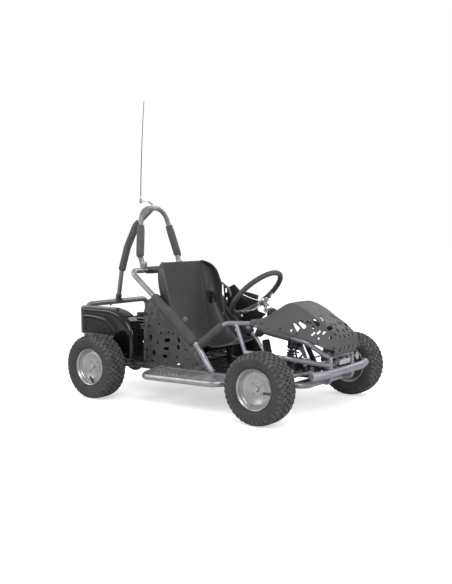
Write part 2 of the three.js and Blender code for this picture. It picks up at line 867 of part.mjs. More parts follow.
const onLean = (halfWidth, height) => vec(leanX(height), halfWidth, height);
const rollRun = {
  corners: roundBoth([
    vec(kneeX, rollFootHalfWidth, kneeHeight), onLean(rollElbowHalfWidth, rollElbowHeight),
    onLean(rollShoulderHalfWidth, rollShoulderHeight),
  ]),
  radius: rollRadius,
  bend: rollBend,
};
const rollTop = onLean(0, rollShoulderHeight);
const onRearLeg = ([ahead, up]) => vec(
  mix(rearLegFootX, rollTop.x, ahead), 0, mix(rearLegFootHeight, rollTop.z, up),
);
const rearLegRun = {
  corners: [onRearLeg([0, 0]), ...rearLegShares.map(onRearLeg), rollTop],
  radius: rollRadius,
  bend: rollBend,
};
const boardRun = {
  corners: [
    vec(boardRearX, frameHalfWidth, railHeight), vec(boardRearX, boardHalfWidth, railHeight),
    vec(boardFrontX, boardHalfWidth, railHeight), vec(boardFrontX, frameHalfWidth, railHeight),
  ],
  radius: boardTubeRadius,
  bend: boardBend,
};
const panRuns = [panTubeRearX, panTubeFrontX].map(
  (x) => across(x, railHeight, frameHalfWidth, engineTubeRadius),
);
const frontPivotX = wheelbase + armHalfBase;
const rearPivotX = wheelbase - armHalfBase;
const towerRuns = [rearPivotX, frontPivotX].map(
  (x) => across(x, railHeight, frameHalfWidth, towerTubeRadius),
);
const spineRun = {
  corners: [vec(rearPivotX, 0, railHeight), vec(frontPivotX, 0, railHeight)],
  radius: towerTubeRadius,
};
const bumperRun = {
  corners: roundBoth([
    vec(bumperEndX, bumperHalfWidth, bumperHeight), vec(bumperFrontX, bumperShoulderHalfWidth, bumperHeight),
  ]),
  radius: bumperRadius,
  bend: bumperBend,
};
const uprightRun = {
  corners: [
    vec(noseRailX, uprightHalfGap, railHeight), vec(uprightX, uprightHalfGap, railHeight),
    vec(uprightX, uprightHalfGap, uprightTop),
  ],
  radius: uprightRadius,
  bend: uprightBend,
};
const stayRun = {
  corners: [
    atSide(strutElbowX, strutElbowHeight), atSide(stayKneeX, stayHeight),
    vec(stayNoseX, stayNoseHalfWidth, stayNoseHeight),
    vec(uprightX, uprightHalfGap, stayNoseHeight),
  ],
  radius: stayRadius,
};

const boreFor = (radius, segments = circleSegments) => (radius + gap) / Math.cos(Math.PI / segments);
const largest = (piece) => piece.decompose().sort((a, b) => b.volume() - a.volume())[0];
const rails = (grow = 0) => weld(onBothSides(tube(railRun, grow)), tube(rearCrossRun, grow));
const railSeat = rails(gap);
const hoopSeat = tube(sideRun, gap);
const loopSeat = weld(tube(loopRun, gap), onBothSides(tube(strutRun, gap)));

// Lower frame with its engine plate and the axle's hangers
const bearing = rod(
  vec(0, frameHalfWidth - bearingLength / 2, axleHeight),
  vec(0, frameHalfWidth + bearingLength / 2, axleHeight),
  bearingRadius,
);
const hanger = sidePlate(
  [
    [-hangerTop, rearRailHeight], [hangerTop - hangerSlope, rearRailHeight],
    [hangerTop, rearRailHeight - hangerSlope],
    [hangerFoot, axleHeight - hangerBelow], [-hangerFoot, axleHeight - hangerBelow],
  ],
  frameHalfWidth - hangerThickness / 2, frameHalfWidth + hangerThickness / 2,
);
const enginePlate = block(
  vec((engineTubeRearX + engineTubeFrontX) / 2, 0, enginePlateTop - enginePlateThickness / 2),
  vec(
    engineTubeFrontX - engineTubeRearX + 2 * engineTubeRadius, 2 * enginePlateHalfWidth,
    enginePlateThickness,
  ),
);
const axleBore = rod(
  vec(0, -frameHalfWidth * 2, axleHeight), vec(0, frameHalfWidth * 2, axleHeight), boreFor(axleRadius),
);
const engineTubes = weld(engineRuns.map((run) => tube(run)));
add(
  'lower_frame',
  cut(weld(rails(), engineTubes, enginePlate, onBothSides(hanger), onBothSides(bearing)), axleBore),
  darkTube(),
);

// Upper frame
add('rear_hoop', largest(cut(tube(rearHoopRun), railSeat)), darkTube());

// Seat, from its centreline and its sections
const seatLine = new THREE.SplineCurve(
  seatLineShares.map(
    ([along, below]) => flat(seatTopX + along * seatLength, seatTopHeight - below * seatDepth),
  ),
);
function seatPoint(u, t) {
  const centre = seatLine.getPoint(t);
  const heading = seatLine.getTangent(t);
  const [, widthShare, wingShare] = tableAt(seatSectionShares, t);
  const turn = Math.abs(u) * Math.PI / 2;
  const forward = wingShare * seatWing * (1 - Math.cos(turn)) ** seatRollShare;
  const across = Math.sign(u) * widthShare * seatHalfWidth * Math.sin(turn);
  return vec(centre.x - heading.y * forward, across, centre.y + heading.x * forward);
}
const seatShell = (grow = 0) => sheet(seatPoint, seatColumns, seatRows, grow, seatThickness + grow);
const seatSeat = seatShell(gap);
const strap = onBothSides(block(
  vec((kneeX + strapFrontX) / 2, strapHalfGap, kneeHeight),
  vec(strapFrontX - kneeX, strapWidth, strapThickness),
));
add('seat_hoop', largest(cut(weld(tube(sideRun), strap), railSeat, seatSeat)), darkTube());
add('seat_shell', seatShell(), darkPlastic());

function beltPoint(u, t) {
  return seatPoint(u * beltSpanShare, mix(beltRearShare, beltFrontShare, t));
}
const belt = sheet(beltPoint, beltColumns, 1, beltLift + beltThickness, -beltLift);
const buckleSpot = seatPoint(0, (beltRearShare + beltFrontShare) / 2);
const buckle = block(
  vec(buckleSpot.x, 0, buckleSpot.z + beltLift + buckleThickness / 2),
  vec(buckleSize, buckleSize, buckleThickness),
);
add('lap_belt', largest(cut(weld(belt, buckle), seatSeat)), blackSteel());

// Front loop with its struts, the dash tube with the column's upper bearing, and the shocks' upper ears
const steerFrame = new THREE.Matrix4().makeRotationY(-columnDegrees * degrees).setPosition(
  steerX, 0, steerHeight,
);
const toDash = vec(steerBehindDash, 0, -steerAboveDash);
const columnTurn = columnDegrees * degrees;
const upperBearingDistance = toDash.dot(vec(Math.sin(columnTurn), 0, -Math.cos(columnTurn)));
const dashBelow = toDash.dot(vec(-Math.cos(columnTurn), 0, -Math.sin(columnTurn)));
const bearingBlockDrop = dashBelow + strutRadius - bearingBlockSize / 2;
const onColumn = (distance, radius, length, bore) => moved(
  cut(
    rod(vec(0, 0, -distance - length / 2), vec(0, 0, -distance + length / 2), radius),
    rod(vec(0, 0, -distance - length), vec(0, 0, -distance + length), bore),
  ),
  steerFrame,
);
const columnBore = columnRadius + runningClearance;
const columnPath = (radius, from, to) => moved(rod(vec(0, 0, -from), vec(0, 0, -to), radius), steerFrame);
const bearingBlock = moved(
  block(
    vec(-bearingBlockDrop / 2, 0, -upperBearingDistance),
    vec(bearingBlockSize + bearingBlockDrop, bearingBlockSize, bearingBlockSize),
  ),
  steerFrame,
);
const earOffset = shockEyeLength / 2 + earClearance + earThickness / 2;
const pinReach = earOffset + earThickness;
const earTop = loopFrontHeight + frontTubeRadius;
const topEars = [-1, 1].map((end) => block(
  vec(shockX + end * earOffset, shockTopHalfGap - earInset, (earTop + shockTopHeight - shockEyeRadius) / 2),
  vec(earThickness, earWidth, earTop - shockTopHeight + shockEyeRadius),
));
const topPin = rod(
  vec(shockX - pinReach, shockTopHalfGap, shockTopHeight),
  vec(shockX + pinReach, shockTopHalfGap, shockTopHeight),
  shockPinRadius, pinSides,
);
const struts = onBothSides(tube(strutRun));
add(
  'front_loop',
  largest(cut(
    weld(tube(loopRun), struts, tube(dashRun), bearingBlock, onBothSides(weld(topEars, topPin))),
    railSeat, hoopSeat, columnPath(columnBore, 0, columnLength),
  )),
  steelGrey(),
);

// Roll bar with its rear leg and the sleeves at its feet
const footSleeve = rod(
  vec(kneeX, rollFootHalfWidth, kneeHeight),
  onLean(rollFootHalfWidth, kneeHeight + tubeRadius + rollFootLength),
  rollFootRadius,
);
add(
  'roll_bar',
  largest(cut(
    weld(tube(rollRun), tube(rearLegRun), onBothSides(footSleeve)),
    hoopSeat, tube(rearHoopRun, gap),
  )),
  darkTube(),
);
const legAt = (height) => {
  const share = (height - rollElbowHeight) / (rollShoulderHeight - rollElbowHeight);
  return onLean(mix(rollElbowHalfWidth, rollShoulderHalfWidth, share), height);
};
const rollPad = wrap([legAt(rollPadBottomHeight), legAt(rollPadTopHeight)], rollPadRadius, rollRun);
sides.forEach(([name, side]) => add(`roll_pad_${name}`, onSide(side, rollPad), foam()));
const rearPadCorners = rearLegRun.corners.slice(1, 4);
rearPadCorners[0] = rearPadCorners[0].clone().lerp(rearPadCorners[1], rearPadInsetShare);
rearPadCorners[2] = rearPadCorners[2].clone().lerp(rearPadCorners[1], rearPadInsetShare * 2);
add('roll_pad_rear', wrap(rearPadCorners, rollPadRadius, rearLegRun), foam());

// Foam on the side bars
const along = (from, to, start, end) => [from.clone().lerp(to, start), from.clone().lerp(to, end)];
const veeSpot = atSide(veeX, veeHeight);
const rearSidePad = wrap(
  along(atSide(padTopX, padTopHeight), veeSpot, padStartShare, padEndShare), sidePadRadius, sideRun,
);
const frontSidePad = wrap(
  along(veeSpot, atSide(frontKneeX, frontKneeHeight), frontPadStartShare, frontPadEndShare), frontPadRadius,
  loopRun,
);
sides.forEach(([name, side]) => {
  add(`side_pad_rear_${name}`, onSide(side, rearSidePad), foam());
  add(`side_pad_front_${name}`, onSide(side, frontSidePad), foam());
});

// Antenna on its bracket
const offTop = (back, lift) => rollTop.clone().add(vec(-back, 0, lift));
const bracket = strip(
  bracketShares.map(([back, lift]) => offTop(back * antennaBack, lift * antennaLift)),
  bracketWidth, bracketThickness, bracketBend,
);
const antennaFoot = offTop(antennaBack, antennaLift);
const antennaBase = offTop(antennaBack, antennaLift - bracketWidth / 2);
const antennaNutTop = offTop(antennaBack, antennaLift + antennaNutHeight);
const antennaTip = offTop(antennaTipBack, antennaTipLift);
const antennaMiddle = antennaNutTop.clone().add(antennaTip).multiplyScalar(0.5).add(vec(-antennaBow, 0, 0));
add(
  'antenna',
  largest(cut(
    weld(
      bracket, rod(antennaBase, antennaNutTop, antennaNutRadius),
      swept(
        bentLine([antennaFoot, antennaMiddle, antennaTip], antennaBend),
        polygon(whipRadius, pinSides),
      ),
    ),
    tube(rollRun, gap), tube(rearLegRun, gap),
  )),
  blackSteel(),
);

// Running boards
const boardLine = bentLine(boardRun.corners, boardBend);
const boardPlate = floorPlate(
  boardLine.places.map((spot) => [spot.x, spot.y]), railHeight + boardTubeRadius / 2 - boardThickness / 2,
  boardThickness,
);
const board = cut(weld(tube(boardRun), boardPlate), railSeat, hoopSeat);
sides.forEach(([name, side]) => add(`running_board_${name}`, onSide(side, largest(board)), silver()));

// Floor pan with its cross tubes, seat posts and pedal ears
const panPlate = block(
  vec((panRearX + panFrontX) / 2, 0, railHeight), vec(panFrontX - panRearX, 2 * frameHalfWidth, panThickness),
);
const seatPost = rod(
  vec(seatPostX, seatPostHalfGap, railHeight), vec(seatPostX, seatPostHalfGap, seatPostTop), seatPostRadius,
);
const pedalEarOffset = pedalBushLength / 2 + earClearance + earThickness / 2;
const pedalEars = [-1, 1].map((end) => block(
  vec(pedalX, pedalHalfGap + end * pedalEarOffset, (railHeight + pedalPivotHeight + pedalBushRadius) / 2),
  vec(earWidth, earThickness, pedalPivotHeight + pedalBushRadius - railHeight),
));
const pedalPin = rod(
  vec(pedalX, pedalHalfGap - pedalEarOffset - earThickness, pedalPivotHeight),
  vec(pedalX, pedalHalfGap + pedalEarOffset + earThickness, pedalPivotHeight), pedalPinRadius, pinSides,
);
add(
  'floor_pan',
  largest(cut(
    weld(panPlate, panRuns.map((run) => tube(run)), onBothSides(weld(seatPost, pedalEars, pedalPin))),
    railSeat, hoopSeat, seatSeat,
  )),
  blackSteel(),
);
const pedalTop = vec(0, 0, pedalLength);
const pedal = cut(
  weld(
    rod(vec(0, -pedalBushLength / 2, 0), vec(0, pedalBushLength / 2, 0), pedalBushRadius),
    rod(vec(0, 0, 0), pedalTop, pedalArmRadius, pinSides),
    block(vec(-pedalArmRadius, 0, pedalLength), vec(pedalPlate, pedalPadWidth, pedalPadHeight)),
  ),
  rod(vec(0, -pedalBushLength, 0), vec(0, pedalBushLength, 0), pedalPinRadius + runningClearance),
);
[['throttle_pedal', -1], ['brake_pedal', 1]].forEach(([name, side]) => {
  const mesh = add(name, pedal, silver(), kart, vec(pedalX, side * pedalHalfGap, pedalPivotHeight));
  mesh.rotation.y = -pedalLeanDegrees * degrees;
});

// Front tower: cross tubes with the arms' pivot ears and the web that holds the column's lower bearing
const pivotEars = [rearPivotX, frontPivotX].map((x) => {
  const offset = armBushLength / 2 + earClearance + earThickness / 2;
  const reach = offset + earThickness / 2 + boltHead;
  const plates = [-1, 1].map((end) => block(
    vec(x + end * offset, armPivotHalfGap, (railHeight + armHeight + armBushRadius) / 2),
    vec(earThickness, earWidth, armHeight + armBushRadius - railHeight),
  ));
  const saddle = block(
    vec(x, armPivotHalfGap, railHeight + towerTubeRadius - earThickness / 2),
    vec(2 * offset, earWidth, 2 * earThickness),
  );
  const bolt = rod(
    vec(x - reach, armPivotHalfGap, armHeight), vec(x + reach, armPivotHalfGap, armHeight), armBoltRadius,
    pinSides,
  );
  return weld(plates, saddle, bolt);
});
const lowerBearingSpot = vec(0, 0, -lowerBearingDistance).applyMatrix4(steerFrame);
const webSpot = ([ahead, up]) => [
  lowerBearingSpot.x + ahead * towerWebReach, lowerBearingSpot.z + up * towerWebReach,
];
const webFootHeight = railHeight + webFootRise;
const towerWeb = sidePlate(
  [
    ...towerWebRearShares.map(webSpot), [frontPivotX - webFootHalf, webFootHeight],
    [frontPivotX + webFootHalf, webFootHeight], ...towerWebFrontShares.map(webSpot),
  ],
  -towerWebThickness / 2, towerWebThickness / 2,
);
add(
  'front_tower',
  largest(cut(
    weld(
      towerRuns.map((run) => tube(run)), tube(spineRun), onBothSides(weld(pivotEars)), towerWeb,
      onColumn(lowerBearingDistance, lowerBearingRadius, lowerBearingLength, columnBore),
    ),
    railSeat, columnPath(columnBore, upperBearingDistance, columnLength),
  )),
  blackSteel(),
);

// Front suspension arms
const kingpinSpot = vec(wheelbase, kingpinHalfTrack, armHeight);
const bossHalf = kingpinBossHeight / 2;
const armPieces = [rearPivotX, frontPivotX].flatMap((x) => [
  rod(
    vec(x - armBushLength / 2, armPivotHalfGap, armHeight),
    vec(x + armBushLength / 2, armPivotHalfGap, armHeight), armBushRadius,
  ),
  tube({ corners: [vec(x, armPivotHalfGap, armHeight), kingpinSpot], radius: armRadius }),
]);
const armTie = rod(
  vec(shockX - armTieHalfLength, shockFootHalfGap, armHeight),
  vec(shockX + earOffset, shockFootHalfGap, armHeight), armRadius,
);
const footEars = [-1, 1].map((end) => block(
  vec(shockX + end * earOffset, shockFootHalfGap, (armHeight + shockFootHeight + shockEyeRadius) / 2),
  vec(earThickness, footEarWidth, shockFootHeight + shockEyeRadius - armHeight),
));
const footPin = rod(
  vec(shockX - pinReach, shockFootHalfGap, shockFootHeight),
  vec(shockX + pinReach, shockFootHalfGap, shockFootHeight),
  shockPinRadius, pinSides,
);
const boss = rod(
  kingpinSpot.clone().add(vec(0, 0, -bossHalf)), kingpinSpot.clone().add(vec(0, 0, bossHalf)),
  kingpinBossRadius,
);
const armBore = rod(
  vec(rearPivotX - armHalfBase, armPivotHalfGap, armHeight),
  vec(frontPivotX + armHalfBase, armPivotHalfGap, armHeight),
  armBoltRadius + runningClearance,
);
const kingpinBore = rod(
  kingpinSpot.clone().add(vec(0, 0, -kingpinBossHeight)),
  kingpinSpot.clone().add(vec(0, 0, kingpinBossHeight)),
  kingpinRadius + runningClearance,
);
const arm = cut(weld(armPieces, armTie, footEars, footPin, boss), armBore, kingpinBore);
sides.forEach(([name, side]) => add(`arm_${name}`, onSide(side, arm), blackSteel()));

// Shocks, in a frame that hangs from the upper pin
const shockLean = Math.atan2(shockFootHalfGap - shockTopHalfGap, shockTopHeight - shockFootHeight);
const shockSpan = Math.hypot(shockFootHalfGap - shockTopHalfGap, shockTopHeight - shockFootHeight);
const down = (distance) => vec(0, 0, -distance);
const eye = (distance) => rod(
  vec(-shockEyeLength / 2, 0, -distance), vec(shockEyeLength / 2, 0, -distance), shockEyeRadius,
);
const eyeBore = (distance) => rod(
  vec(-shockEyeLength, 0, -distance), vec(shockEyeLength, 0, -distance), shockPinRadius + runningClearance,
);
const shockUpper = cut(
  weld(
    eye(0), rod(down(shockPinRadius), down(springSeatInset), shockNeckRadius),
    rod(down(springSeatInset), down(springSeatInset + springSeatThickness), springSeatRadius),
    rod(down(springSeatInset), down(shockBodyEnd), shockBodyRadius),
  ),
  eyeBore(0), rod(down(shockBoreTop), down(shockSpan), shockRodRadius + runningClearance),
);
const lowerSeat = shockSpan - springSeatInset - springSeatThickness;
const shockLower = cut(
  weld(
    eye(shockSpan),
    rod(down(shockBodyEnd - shockRodInside), down(shockSpan - shockPinRadius), shockRodRadius),
    rod(down(lowerSeat), down(shockSpan - springSeatInset), springSeatRadius),
  ),
  eyeBore(shockSpan),
);

// The spring's wire leaves each seat straight, bends over and winds down
function springLine(top, bottom, sign) {
  const wire = 2 * springWireRadius;
  const bend = wire * springBendShare;
  const places = [];
  const headings = [];
  const turns = springTurns * 2 * Math.PI;
  const start = top - wire - bend;
  const rise = start - (bottom + wire + bend);
  const count = springTurns * springStepsPerTurn;
  const helix = (share) => vec(
    springRadius * Math.cos(turns * share), sign * springRadius * Math.sin(turns * share),
    start - rise * share,
  );
  const slope = (share) => helix(share + springNudge).sub(helix(share - springNudge)).normalize();
  const downward = vec(0, 0, -1);
  const leadIn = ([spot, heading], end) => {
    const level = heading.clone().setZ(0).normalize();
    const at = (rise, back) => spot.clone().add(vec(0, 0, end * rise)).addScaledVector(level, -end * back);
    return [
      [at(bend + wire, bend), downward],
      [at(bend, bend), downward],
      [at(bend * (1 - Math.SQRT1_2), bend * Math.SQRT1_2), heading.clone().add(downward).normalize()],
    ];
  };
  const winding = Array.from({ length: count + 1 }, (_, i) => [helix(i / count), slope(i / count)]);
  const first = leadIn(winding[0], 1);
  const last = leadIn(winding.at(-1), -1).reverse();
  [...first, ...winding, ...last].forEach(([place, heading]) => {
    places.push(place);
    headings.push(heading);
  });
  return new StationLine(places, headings);
}
function leastGap(line, radius, apart) {
  let least = Infinity;
  line.places.forEach((spot, i) => line.places.slice(i + apart).forEach((other) => {
    least = Math.min(least, spot.distanceTo(other) - 2 * radius);
  }));
  return least;
}
sides.forEach(([name, side]) => {
  const hung = new THREE.Group();
  hung.position.set(shockX, side * shockTopHalfGap, shockTopHeight);
  hung.rotation.x = side * shockLean;
  kart.add(hung);
  const line = springLine(-springSeatInset - springSeatThickness - gap, -lowerSeat + gap, side);
  console.log(
    `spring ${name} least gap to itself ${leastGap(line, springWireRadius,
    springStepsPerTurn / 2).toFixed(2)}`,
  );
  add(`shock_upper_${name}`, shockUpper, blackSteel(), hung);
  add(`shock_lower_${name}`, shockLower, silver(), hung);
  add(`spring_${name}`, swept(line, polygon(springWireRadius, springSides)), blackSteel(), hung);
});

// Steering knuckles with their kingpin, spindle and arm, about the kingpin's foot of the wheel's middle
const yokeTop = armHeight + bossHalf + earClearance;
const yokeBottom = armHeight - bossHalf - earClearance;
const yokePlate = (bottom) => block(
  vec(
    wheelbase, kingpinHalfTrack + (yokeReach + yokeThickness - kingpinBossRadius) / 2,
    bottom + yokeThickness / 2,
  ),
  vec(yokeWidth, yokeReach + yokeThickness + kingpinBossRadius, yokeThickness),
);
const backPlate = block(
  vec(
    wheelbase, kingpinHalfTrack + yokeReach + yokeThickness / 2,
    (yokeTop + yokeThickness + axleHeight - yokeWidth / 2) / 2,
  ),
  vec(yokeWidth, yokeThickness, yokeTop + yokeThickness - axleHeight + yokeWidth / 2),
);
const spindleFoot = kingpinHalfTrack + yokeReach;
const hubInner = track / 2 - hubLength + hubCapDepth;
const steeringArm = block(
  vec(wheelbase - knuckleArmLength / 2, kingpinHalfTrack, yokeTop + yokeThickness / 2),
  vec(knuckleArmLength + knuckleArmWidth, knuckleArmWidth, yokeThickness),
);
const studSpot = vec(wheelbase - knuckleArmLength, kingpinHalfTrack, yokeTop);
const studTop = yokeThickness + earClearance + tieEyeHeight + earClearance;
const knuckle = weld(
  yokePlate(yokeTop), yokePlate(yokeBottom - yokeThickness), backPlate, steeringArm,
  rod(
    vec(wheelbase, kingpinHalfTrack, yokeBottom - yokeThickness - kingpinRadius),
    vec(wheelbase, kingpinHalfTrack, yokeTop + yokeThickness + kingpinRadius), kingpinRadius,
  ),
  rod(
    vec(wheelbase, spindleFoot, axleHeight), vec(wheelbase, track / 2 + kingpinRadius, axleHeight),
    spindleRadius,
  ),
  rod(
    vec(wheelbase, spindleFoot, axleHeight), vec(wheelbase, hubInner - earClearance, axleHeight),
    kingpinBossRadius,
  ),
  rod(studSpot, studSpot.clone().add(vec(0, 0, studTop)), tieStudRadius, pinSides),
  rod(
    studSpot.clone().add(vec(0, 0, studTop)), studSpot.clone().add(vec(0, 0, studTop + tieStudRadius)),
    studNutRadius, pinSides,
  ),
);
const eyeSpot = studSpot.clone().add(vec(0, 0, yokeThickness + earClearance + tieEyeHeight / 2));
const tieRod = cut(
  weld(
    rod(
      eyeSpot.clone().add(down(tieEyeHeight / 2)), eyeSpot.clone().add(down(-tieEyeHeight / 2)),
      tieEyeRadius,
    ),
    rod(eyeSpot, eyeSpot.clone().setY(tieInnerHalfGap), tieRodRadius, pinSides),
    rod(
      eyeSpot.clone().setY(tieInnerHalfGap + tieEyeHeight * 2), eyeSpot.clone().setY(tieInnerHalfGap),
      tieEndRadius,
    ),
  ),
  rod(
    eyeSpot.clone().add(down(tieEyeHeight)), eyeSpot.clone().add(down(-tieEyeHeight)),
    tieStudRadius + runningClearance,
  ),
);
sides.forEach(([name, side]) => {
  add(`knuckle_${name}`, onSide(side, knuckle), blackSteel());
  add(`tie_rod_${name}`, onSide(side, tieRod), silver());
});

// Steering wheel and column, in a frame on the wheel's middle: X up and forward, Z towards the driver
const steering = new THREE.Group();
steering.position.set(steerX, 0, steerHeight);
steering.rotation.y = -columnDegrees * degrees;
kart.add(steering);
const rim = solid(new THREE.TorusGeometry(steerRingRadius, steerGripRadius, gripSides, ringSegments));
const spokeCorners = [
  vec(-spiderHubRadius / 2, 0, -spiderDrop),
  vec(-steerRingRadius * spokeElbowShare, 0, spokeRise - spiderDrop),
  vec(-steerRingRadius, 0, 0),
];
const spoke = strip(spokeCorners, spokeWidth, spiderThickness, hoopBend);
const spokes = spokeTurnShares.map(
  (share) => moved(spoke, new THREE.Matrix4().makeRotationZ(share * 2 * Math.PI)),
);
const spiderHub = rod(
  down(spiderDrop + spiderThickness / 2), down(spiderDrop - spiderThickness / 2), spiderHubRadius,
);
add('steering_wheel', weld(rim, spokes, spiderHub), chrome(), steering);
const columnTop = spiderDrop + spiderThickness / 2 + gap;
add(
  'steering_column',
  weld(
    rod(down(columnTop), down(columnTop + pitmanThickness), columnFlangeRadius),
    rod(down(columnTop), down(columnLength), columnRadius),
    block(
      vec(-pitmanReach / 2, 0, -columnLength + pitmanThickness / 2),
      vec(pitmanReach + pitmanWidth, pitmanWidth, pitmanThickness),
    ),
    block(
      vec(-pitmanReach, 0, -columnLength + pitmanThickness / 2),
      vec(pitmanWidth, 2 * pitmanHalfSpan, pitmanThickness),
    ),
  ),
  steelGrey(), steering,
);

// Hood: each station is a flat crown between two falling sides
function hoodPoint(u, t) {
  const place = t * (hoodStationShares.length - 1);
  const low = Math.min(Math.floor(place), hoodStationShares.length - 2);
  const row = hoodStationShares[low].map(
    (value, k) => mix(value, hoodStationShares[low + 1][k], place - low),
  );
  const [length, edgeShare, edgeRise, crownShare, crownRise] = row;
  const inner = Math.min(Math.abs(u) * 2, 1);
  const outer = Math.max(Math.abs(u) * 2 - 1, 0);
  const width = mix(crownShare * inner, edgeShare, outer);
  const rise = mix(crownRise + hoodCrownShare * (1 - inner * inner), edgeRise, outer);
  return vec(
    hoodStartX + length * hoodLength, Math.sign(u) * width * hoodHalfWidth,
    hoodBaseHeight + rise * hoodCrownRise,
  );
}
const hoodTopShares = hoodStationShares.slice(0, -1);
const hoodSlots = hoodSlotShares.map(([length, width, slotLength, slotWidth, turn]) => {
  const crownRise = tableAt(hoodTopShares, length)[4];
  const slot = new THREE.BoxGeometry(slotLength * hoodLength, slotWidth * hoodHalfWidth, hoodCrownRise);
  slot.rotateZ(turn * degrees);
  slot.translate(
    hoodStartX + length * hoodLength, width * hoodHalfWidth * hoodSlotSpreadShare,
    hoodBaseHeight + crownRise * hoodCrownRise - slotSinkShare * Math.abs(width) * hoodCrownRise,
  );
  return solid(slot);
});
const columnNotch = columnPath(columnRadius + notchClearance, spiderDrop, upperBearingDistance);
add(
  'hood',
  largest(
    cut(
      sheet(hoodPoint, hoodColumns, hoodStationShares.length - 1, 0, hoodThickness), hoodSlots, columnNotch,
      loopSeat,
    ),
  ),
  darkPlastic(),
);

// Side panels, seated on the seat hoop, its foam and the lower rail
const panelLength = footX - panelRearX;
const panelHeight = padTopHeight - railHeight;
const panelSpot = ([length, height]) => [
  panelRearX + length * panelLength, railHeight + height * panelHeight,
];
const panelPlate = sidePlate(
  [...panelEdgeShares.map(panelSpot), [padTopX, padTopHeight], [veeX, veeHeight], [footX, railHeight]],
  frameHalfWidth - panelThickness / 2, frameHalfWidth + panelThickness / 2,
);
const panelSlots = panelSlotShares.map(([length, height, slotLength, slotHeight, turn]) => {
  const slot = new THREE.BoxGeometry(slotLength * panelLength, overrun, slotHeight * panelHeight);
  slot.rotateY(turn * degrees);
  const [x, z] = panelSpot([length, height]);
  return solid(slot.translate(x, frameHalfWidth, z));
});
const padSeat = swept(
  bentLine(
    along(atSide(padTopX, padTopHeight), veeSpot, padStartShare - padSlackShare, padEndShare + padSlackShare),
    hoopBend,
  ),
  polygon(sidePadRadius + gap, circleSegments),
);
const panel = largest(cut(panelPlate, hoopSeat, railSeat, padSeat, panelSlots));
sides.forEach(([name, side]) => add(`side_panel_${name}`, onSide(side, panel), darkPlastic()));

// Bumper
add(
  'front_bumper',
  largest(cut(weld(tube(bumperRun), onBothSides(weld(tube(uprightRun), tube(stayRun)))), railSeat, loopSeat)),
  steelGrey(),
);

// Rear cowls: shells open below and on the inside, with a recessed panel in the outer face
const cowlSpot = ([length, below]) => [cowlRearX + length * cowlLength, cowlTop - below * cowlHeight];
const cowlOutline = [...cowlArchShares, ...cowlFootShares].map(cowlSpot);
const cowlHollow = [
  ...inset(cowlOutline, cowlWall).slice(0, cowlArchShares.length),
  ...cowlFootShares.map(cowlSpot).map(([x, z]) => [x, z - overrun]),
];
const cowlInner = frameHalfWidth + rearHoopRadius * Math.cos(Math.PI / tubeSides) + gap;
const cowlMouth = [
  ...inset(cowlOutline, cowlFlange).slice(0, cowlArchShares.length),
  ...cowlFootShares.map(cowlSpot).map(([x, z]) => [x, z - overrun]),
];
const cowlPanel = cowlPanelShares.map(cowlSpot);
const cowl = cut(
  weld(
    cut(
      sidePlate(cowlOutline, cowlInner, cowlOuter),
      sidePlate(cowlHollow, cowlInner + cowlWall, cowlOuter - cowlWall),
      sidePlate(cowlMouth, cowlInner - overrun, cowlInner + 2 * cowlWall),
    ),
    sidePlate(inset(cowlPanel, -cowlWall), cowlOuter - cowlRecess - cowlWall, cowlOuter - cowlWall / 2),
  ),
  sidePlate(cowlPanel, cowlOuter - cowlRecess, cowlOuter + overrun),
);
sides.forEach(([name, side]) => add(`rear_cowl_${name}`, onSide(side, cowl), glossBlack()));

// Engine with its cylinder leaning back, recoil starter, air filter and the posts under the tank
const crank = vec(crankX, 0, crankHeight);
const atCrank = (y) => crank.clone().setY(y);
const cylinderFrame = new THREE.Matrix4().makeRotationY(-cylinderLeanDegrees * degrees).setPosition(crank);
const fins = Array.from({ length: finCount }, (_, i) => block(
  vec(0, 0, finStart + i * finPitch), vec(finSize, finSize, finThickness),
));
const cylinder = moved(
  weld(block(vec(0, 0, cylinderLength / 2), vec(cylinderSize, cylinderSize, cylinderLength)), fins),
  cylinderFrame,
);
const guideSpot = vec(
  crankX - starterRadius * Math.SQRT1_2, crankcaseLeft + starterDepth / 2,
  crankHeight + starterRadius * Math.SQRT1_2,
);
const filterSpot = vec(filterX, crankcaseLeft + filterDepth / 2, filterHeight);
const tankPost = rod(
  vec(crankX, tankPostHalfGap, crankHeight), vec(crankX, tankPostHalfGap, tankBottom - gap), crankRadius,
);
const shaftEnd = chainY - sprocketThickness / 2 - gap;
add(
  'engine_block',
  weld(
    block(
      vec(crankX, (crankcaseLeft + crankcaseRight) / 2, crankcaseBottom + crankcaseHeight / 2),
      vec(crankcaseLength, crankcaseLeft - crankcaseRight, crankcaseHeight),
    ),
    cylinder,
    rod(
      atCrank(crankcaseLeft - crankRadius), atCrank(crankcaseLeft + starterDepth), starterRadius,
      starterSegments,
    ),
    rod(
      atCrank(crankcaseLeft + starterDepth - crankRadius),
      atCrank(crankcaseLeft + starterDepth + starterCapDepth),
      starterRadius * starterCapShare, starterSegments,
    ),
    block(guideSpot, vec(2 * rollerGuide, rollerGuide, rollerGuide)),
    block(filterSpot, vec(filterLength, filterDepth, filterTall)),
    rod(filterSpot.clone().setY(0), filterSpot, exhaustRadius),
    onBothSides(tankPost),
    rod(atCrank(0), atCrank(shaftEnd - pedalPlate), crankRadius),
    rod(atCrank(shaftEnd), atCrank(shaftEnd - pedalPlate), capRadius),
  ),
  castMetal(),
);
const handleX = guideSpot.x - rollerGuide - gap;
add(
  'recoil_handle',
  weld(
    rod(
      guideSpot.clone().setX(handleX), guideSpot.clone().setX(handleX - handleStem - handleRadius),
      armBoltRadius,
    ),
    rod(
      vec(handleX - handleStem, guideSpot.y - handleLength / 2, guideSpot.z),
      vec(handleX - handleStem, guideSpot.y + handleLength / 2, guideSpot.z), handleRadius,
    ),
  ),
  blackSteel(),
);

